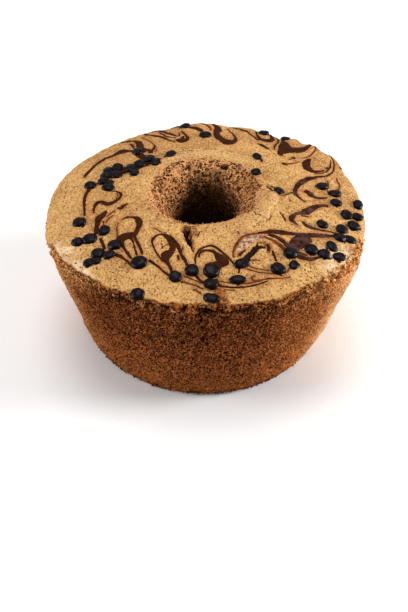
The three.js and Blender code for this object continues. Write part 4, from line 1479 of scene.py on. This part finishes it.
def scatterChips(given):
    ball = given.node("GeometryNodeMeshUVSphere", None, {0: given.other("Sides"), 1: 14, 2: 1.0})
    x, y, z = given.node("GeometryNodeInputPosition").parts()
    above = z.most(0)
    # flatter on top than a ball
    dome = above * (1.5 - 0.5 * above) * given.other("Height") + z.least(0) * given.other("Sunk")
    wide = given.other("Radius") * (1 - 0.05 * above)
    formed = given.node("ShaderNodeCombineXYZ", None, {0: x * wide, 1: y * wide, 2: dome})
    drop = ball.node("GeometryNodeSetPosition", None, {0: kept(ball, "dome", above), 2: formed})
    upwards = field(given, "lean", "FLOAT_VECTOR")
    lean = given.node("FunctionNodeAlignRotationToVector", {"axis": "Z"}, {2: upwards})
    about = {0: (0, 0, 1), 1: field(given, "turn")}
    spin = given.node("FunctionNodeAxisAngleToRotation", None, about)
    local = {"rotation_space": "LOCAL"}
    turned = lean.node("FunctionNodeRotateRotation", local, {0: lean, 1: spin})
    tilt = given.other("Tilt")
    low = given.node("ShaderNodeCombineXYZ", None, {0: 0 - tilt, 1: 0 - tilt, 2: 0.0})
    high = given.node("ShaderNodeCombineXYZ", None, {0: tilt, 1: tilt, 2: 0.0})
    chance = {0: low, 1: high, "Seed": given.other("Seed")}
    rock = given.node("FunctionNodeRandomValue", {"data_type": "FLOAT_VECTOR"}, chance)
    rocked = given.node("FunctionNodeEulerToRotation", None, {0: rock})
    turned = turned.node("FunctionNodeRotateRotation", local, {0: turned, 1: rocked})
    heap = placed(given, drop, turned, field(given, "shape", "FLOAT_VECTOR"))
    shift = given.node("GeometryNodeInputPosition").stir(230.0, 1.5) * given.other("Uneven")
    return dressed(moved(heap, shift), given.other("Chocolate"))


chipsOnTop = grownPiece("chocolate_chips", chipPoints(), chipPiece, scatterChips)
print("chips are made:", len(chipsOnTop.data.polygons), "faces")

# The strokes become thin ribbons draped on the skin, thick in the middle
swirlPiece = {
    "Step": 0.7 * mm,
    "Rise": 0.3 * mm,
    "Sink": 0.35 * mm,
    "Wobble": 0.9 * mm,
    "Skin": skin,
    "Chocolate": swirlMaterial,
}
# metres above the underside: where the strokes fall from, and below which they are cut off
dropSetup = {"from": 0.2, "lowest": 0.07}
dabSetup = {"seed": 11, "most": 2, "long": 1.8, "wide": 1.0, "steps": 3}


# Small smears of melted chocolate round the chips' feet
def dabLines():
    chance = np.random.default_rng(dabSetup["seed"])
    lines = []
    for chip in chips:
        for dab in range(chance.integers(1, dabSetup["most"] + 1)):
            turn = chance.uniform(0, 2 * math.pi)
            bend = turn + chance.uniform(-0.5, 0.5)
            near = 3.2 * chip[2]
            far = (3.4 + chance.uniform(0.5, 1) * dabSetup["long"]) * chip[2]
            stroke = []
            for away, angle, wide in (
                (near, turn, dabSetup["wide"]),
                ((near + far) / 2, (turn + bend) / 2, 0.8),
                (far, bend, 0.3),
            ):
                x, y = chip[0] + away * math.cos(angle), chip[1] + away * math.sin(angle)
                stroke.append((x, y, wide))
            lines.append(insideRim(smoothLine(stroke, dabSetup["steps"])))
    return lines


def strokeCurves(name, lines):
    data = bpy.data.curves.new(name, "CURVE")
    data.dimensions = "3D"
    for line in lines:
        spline = data.splines.new("POLY")
        spline.points.add(len(line) - 1)
        places = np.zeros((len(line), 4))
        places[:, :2] = line[:, :2] * mm
        places[:, 3] = 1
        spline.points.foreach_set("co", places.ravel())
        spline.points.foreach_set("radius", line[:, 2] * mm)
    curve = bpy.data.objects.new(name, data)
    scene.collection.objects.link(curve)
    return curve


def drapeRibbons(given):
    spacing = {0: given, 3: given.other("Step")}
    even = given.node("GeometryNodeResampleCurve", {"mode": "LENGTH"}, spacing)
    place = given.node("GeometryNodeInputPosition")
    width = given.node("GeometryNodeInputRadius") * (0.72 + 0.56 * place.clouds(2.4, 2))
    even = kept(even, "halfWidth", width)
    ring = given.node("GeometryNodeCurvePrimitiveCircle", None, {0: 10, 4: 1.0})
    half = field(given, "halfWidth")
    tube = given.node("GeometryNodeCurveToMesh", None, {0: even, 1: ring, 2: half, 3: True})
    x, y, z = place.parts()
    ratio = (z / half).most(-1).least(1)
    ground = given.node("ShaderNodeCombineXYZ", None, {0: x, 1: y, 2: 0.0})
    above = ground + ground.stir(420.0) * given.other("Wobble") * (1, 1, 0)
    above = above + (0, 0, dropSetup["from"])
    skinInfo = given.node("GeometryNodeObjectInfo", None, {0: given.other("Skin")}, out="Geometry")
    ray = {0: skinInfo, 2: above, 3: (0, 0, -1), 4: 1.0}
    hit = given.node("GeometryNodeRaycast", {"data_type": "FLOAT"}, ray)
    thin = (half / (1.2 * mm)).least(1) * 0.6 + 0.4
    proud = ratio.most(0) * given.other("Rise") * thin + ratio.least(0) * given.other("Sink")
    laid = hit.other("Hit Position") + hit.other("Hit Normal") * proud
    draped = tube.node("GeometryNodeSetPosition", None, {0: tube, 1: hit, 2: laid})
    # what falls through the hole or past the rim
    level = {0: z, 1: dropSetup["lowest"]}
    stray = z.node("FunctionNodeCompare", {"operation": "LESS_THAN"}, level)
    draped = draped.node("GeometryNodeDeleteGeometry", None, {0: draped, 1: stray})
    draped = kept(draped, "across", 1 - ratio.most(0))
    return dressed(kept(draped, "tone", given.other("Tone")), given.other("Chocolate"))


def makeSwirls(name, lines, tone):
    inputs = {**swirlPiece, "Tone": tone}
    return grownPiece(name, strokeCurves(name + "Lines", lines), inputs, drapeRibbons)


darkSwirls = makeSwirls("swirls_dark", darkLines + dabLines(), 0.0)
faintSwirls = makeSwirls("swirls_faint", faintLines, 1.0)
print("swirls are made:", len(darkSwirls.data.polygons) + len(faintSwirls.data.polygons), "faces")

# Loose crumbs and torn bits: angle, half width, from and to along the rim path, count,
# smallest and largest in millimetres. The rim path starts 8 mm inside the rim
tornBits = [
    (-147, 9, 6.5, 12.0, 50, 0.7, 2.0),
    (-130, 10, 6.5, 10.0, 30, 0.6, 1.5),
    (-34, 16, 5.0, 12.5, 160, 0.9, 2.5),
    (-60, 14, 5.5, 9.0, 26, 0.8, 2.0),
    (-100, 15, 5.5, 9.0, 14, 0.7, 1.5),
    (-97.6, 0.8, 5.5, 10.0, 6, 1.6, 2.6),
    (-93.6, 1.8, 6.0, 10.0, 12, 1.5, 2.8),
    (-84.3, 2.6, -8.0, 9.0, 56, 0.8, 2.0),
    (-80, 4, 5.5, 9.0, 10, 0.7, 1.7),
    (-118, 10, 6.0, 9.0, 12, 0.7, 1.5),
]
crumbBits = [
    (-90, 40, 6.5, 13.0, 200, 0.5, 1.5),
    (-91.3, 0.5, 14, 44, 40, 0.9, 2.0),
    (-20, 25, 7.0, 11.0, 50, 0.5, 1.2),
    (-160, 20, 8.0, 12.0, 40, 0.5, 1.2),
    (90, 180, 94.5, 97.0, 420, 0.5, 1.4),
]
# the same in the hole, from and to in degrees round the bend of its edge
mouthBits = [
    (-95, 85, 52, 80, 190, 0.5, 1.3),
    (-100, 60, 80, 89, 110, 0.4, 1.1),
    (90, 90, 55, 78, 90, 0.5, 1.2),
]
bitPiece = {"Uneven": 1.6, "Seed": 3}


def bitPoints(name, bands, path):
    chance = np.random.default_rng(bitPiece["Seed"])
    rows = []
    for centre, wide, near, far, count, small, large in bands:
        angle = np.radians(centre + wide * chance.uniform(-1, 1, count))
        along = chance.uniform(near, far, count)
        size = small + (large - small) * chance.uniform(0, 1, count) ** 2
        radius, height = path(along)
        out, lift = unevenness(radius, height, angle)
        # sunk in a little
        radius = radius + out - 0.15 * size
        rows.append(np.stack([radius * np.cos(angle), radius * np.sin(angle), height + lift, size]))
    x, y, z, size = np.concatenate(rows, axis=1)
    # none of them reaches below the underside
    centres = np.stack([x, y, np.maximum(z, 0.8 * size)], axis=1)
    mesh = bpy.data.meshes.new(name)
    mesh.from_pydata((centres * mm).tolist(), [], [])
    numberField(mesh, "size", size * mm * 0.5)
    return finishedPiece(name, mesh)


def scatterBits(given):
    ball = given.node("GeometryNodeMeshIcoSphere", None, {0: 1.0, 1: given.other("Rounds")})
    vectors = {"data_type": "FLOAT_VECTOR"}
    anyTurn = {0: (0, 0, 0), 1: (6.3, 6.3, 6.3), "Seed": given.other("Seed")}
    turn = given.node("FunctionNodeRandomValue", vectors, anyTurn)
    turned = given.node("FunctionNodeEulerToRotation", None, {0: turn})
    anyShape = {0: (0.7, 0.6, 0.5), 1: (1.3, 1.2, 1.0), "Seed": given.other("Seed") + 2}
    shape = given.node("FunctionNodeRandomValue", vectors, anyShape)
    size = field(given, "size")
    bits = placed(given, ball, turned, shape * size)
    shift = given.node("GeometryNodeInputPosition").stir(700.0) * 2 * given.other("Uneven") * size
    return dressed(moved(bits, shift), given.other("Finish"))


def makeBits(name, bands, material, rounds, path=rimPath):
    inputs = {**bitPiece, "Finish": material, "Rounds": rounds}
    return grownPiece(name, bitPoints(name + "Points", bands, path), inputs, scatterBits)


def mouthPath(degrees):
    return mouthPoint(np.radians(degrees))


goldenBits = makeBits("torn_bits", tornBits, lumpMaterial, 3)
looseCrumbs = makeBits("loose_crumbs", crumbBits, crumbMaterial, 2)
mouthCrumbs = makeBits("mouth_crumbs", mouthBits, crumbMaterial, 2, mouthPath)
bitCount = sum(len(piece.data.polygons) for piece in (goldenBits, looseCrumbs, mouthCrumbs))
print("crumbs are made:", bitCount, "faces")

for piece, slot in (
    (goldenBits, "brown_crumb"),
    (looseCrumbs, "brown_crumb"),
    (mouthCrumbs, "brown_crumb"),
    (crumb, "brown_crumb"),
    (skin, "baked_skin"),
    (chipsOnTop, "chocolate"),
    (darkSwirls, "chocolate"),
    (faintSwirls, "chocolate"),
):
    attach(piece, "root")
    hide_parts("cake")

half = floorLook["half"]
floor = bpy.data.meshes.new("floor")
corners = [(-half, -half, 0), (half, -half, 0), (half, half, 0), (-half, half, 0)]
floor.from_pydata(corners, [], [(0, 1, 2, 3)])
floor.materials.append(floorMaterial)
finishedPiece("floor", floor)
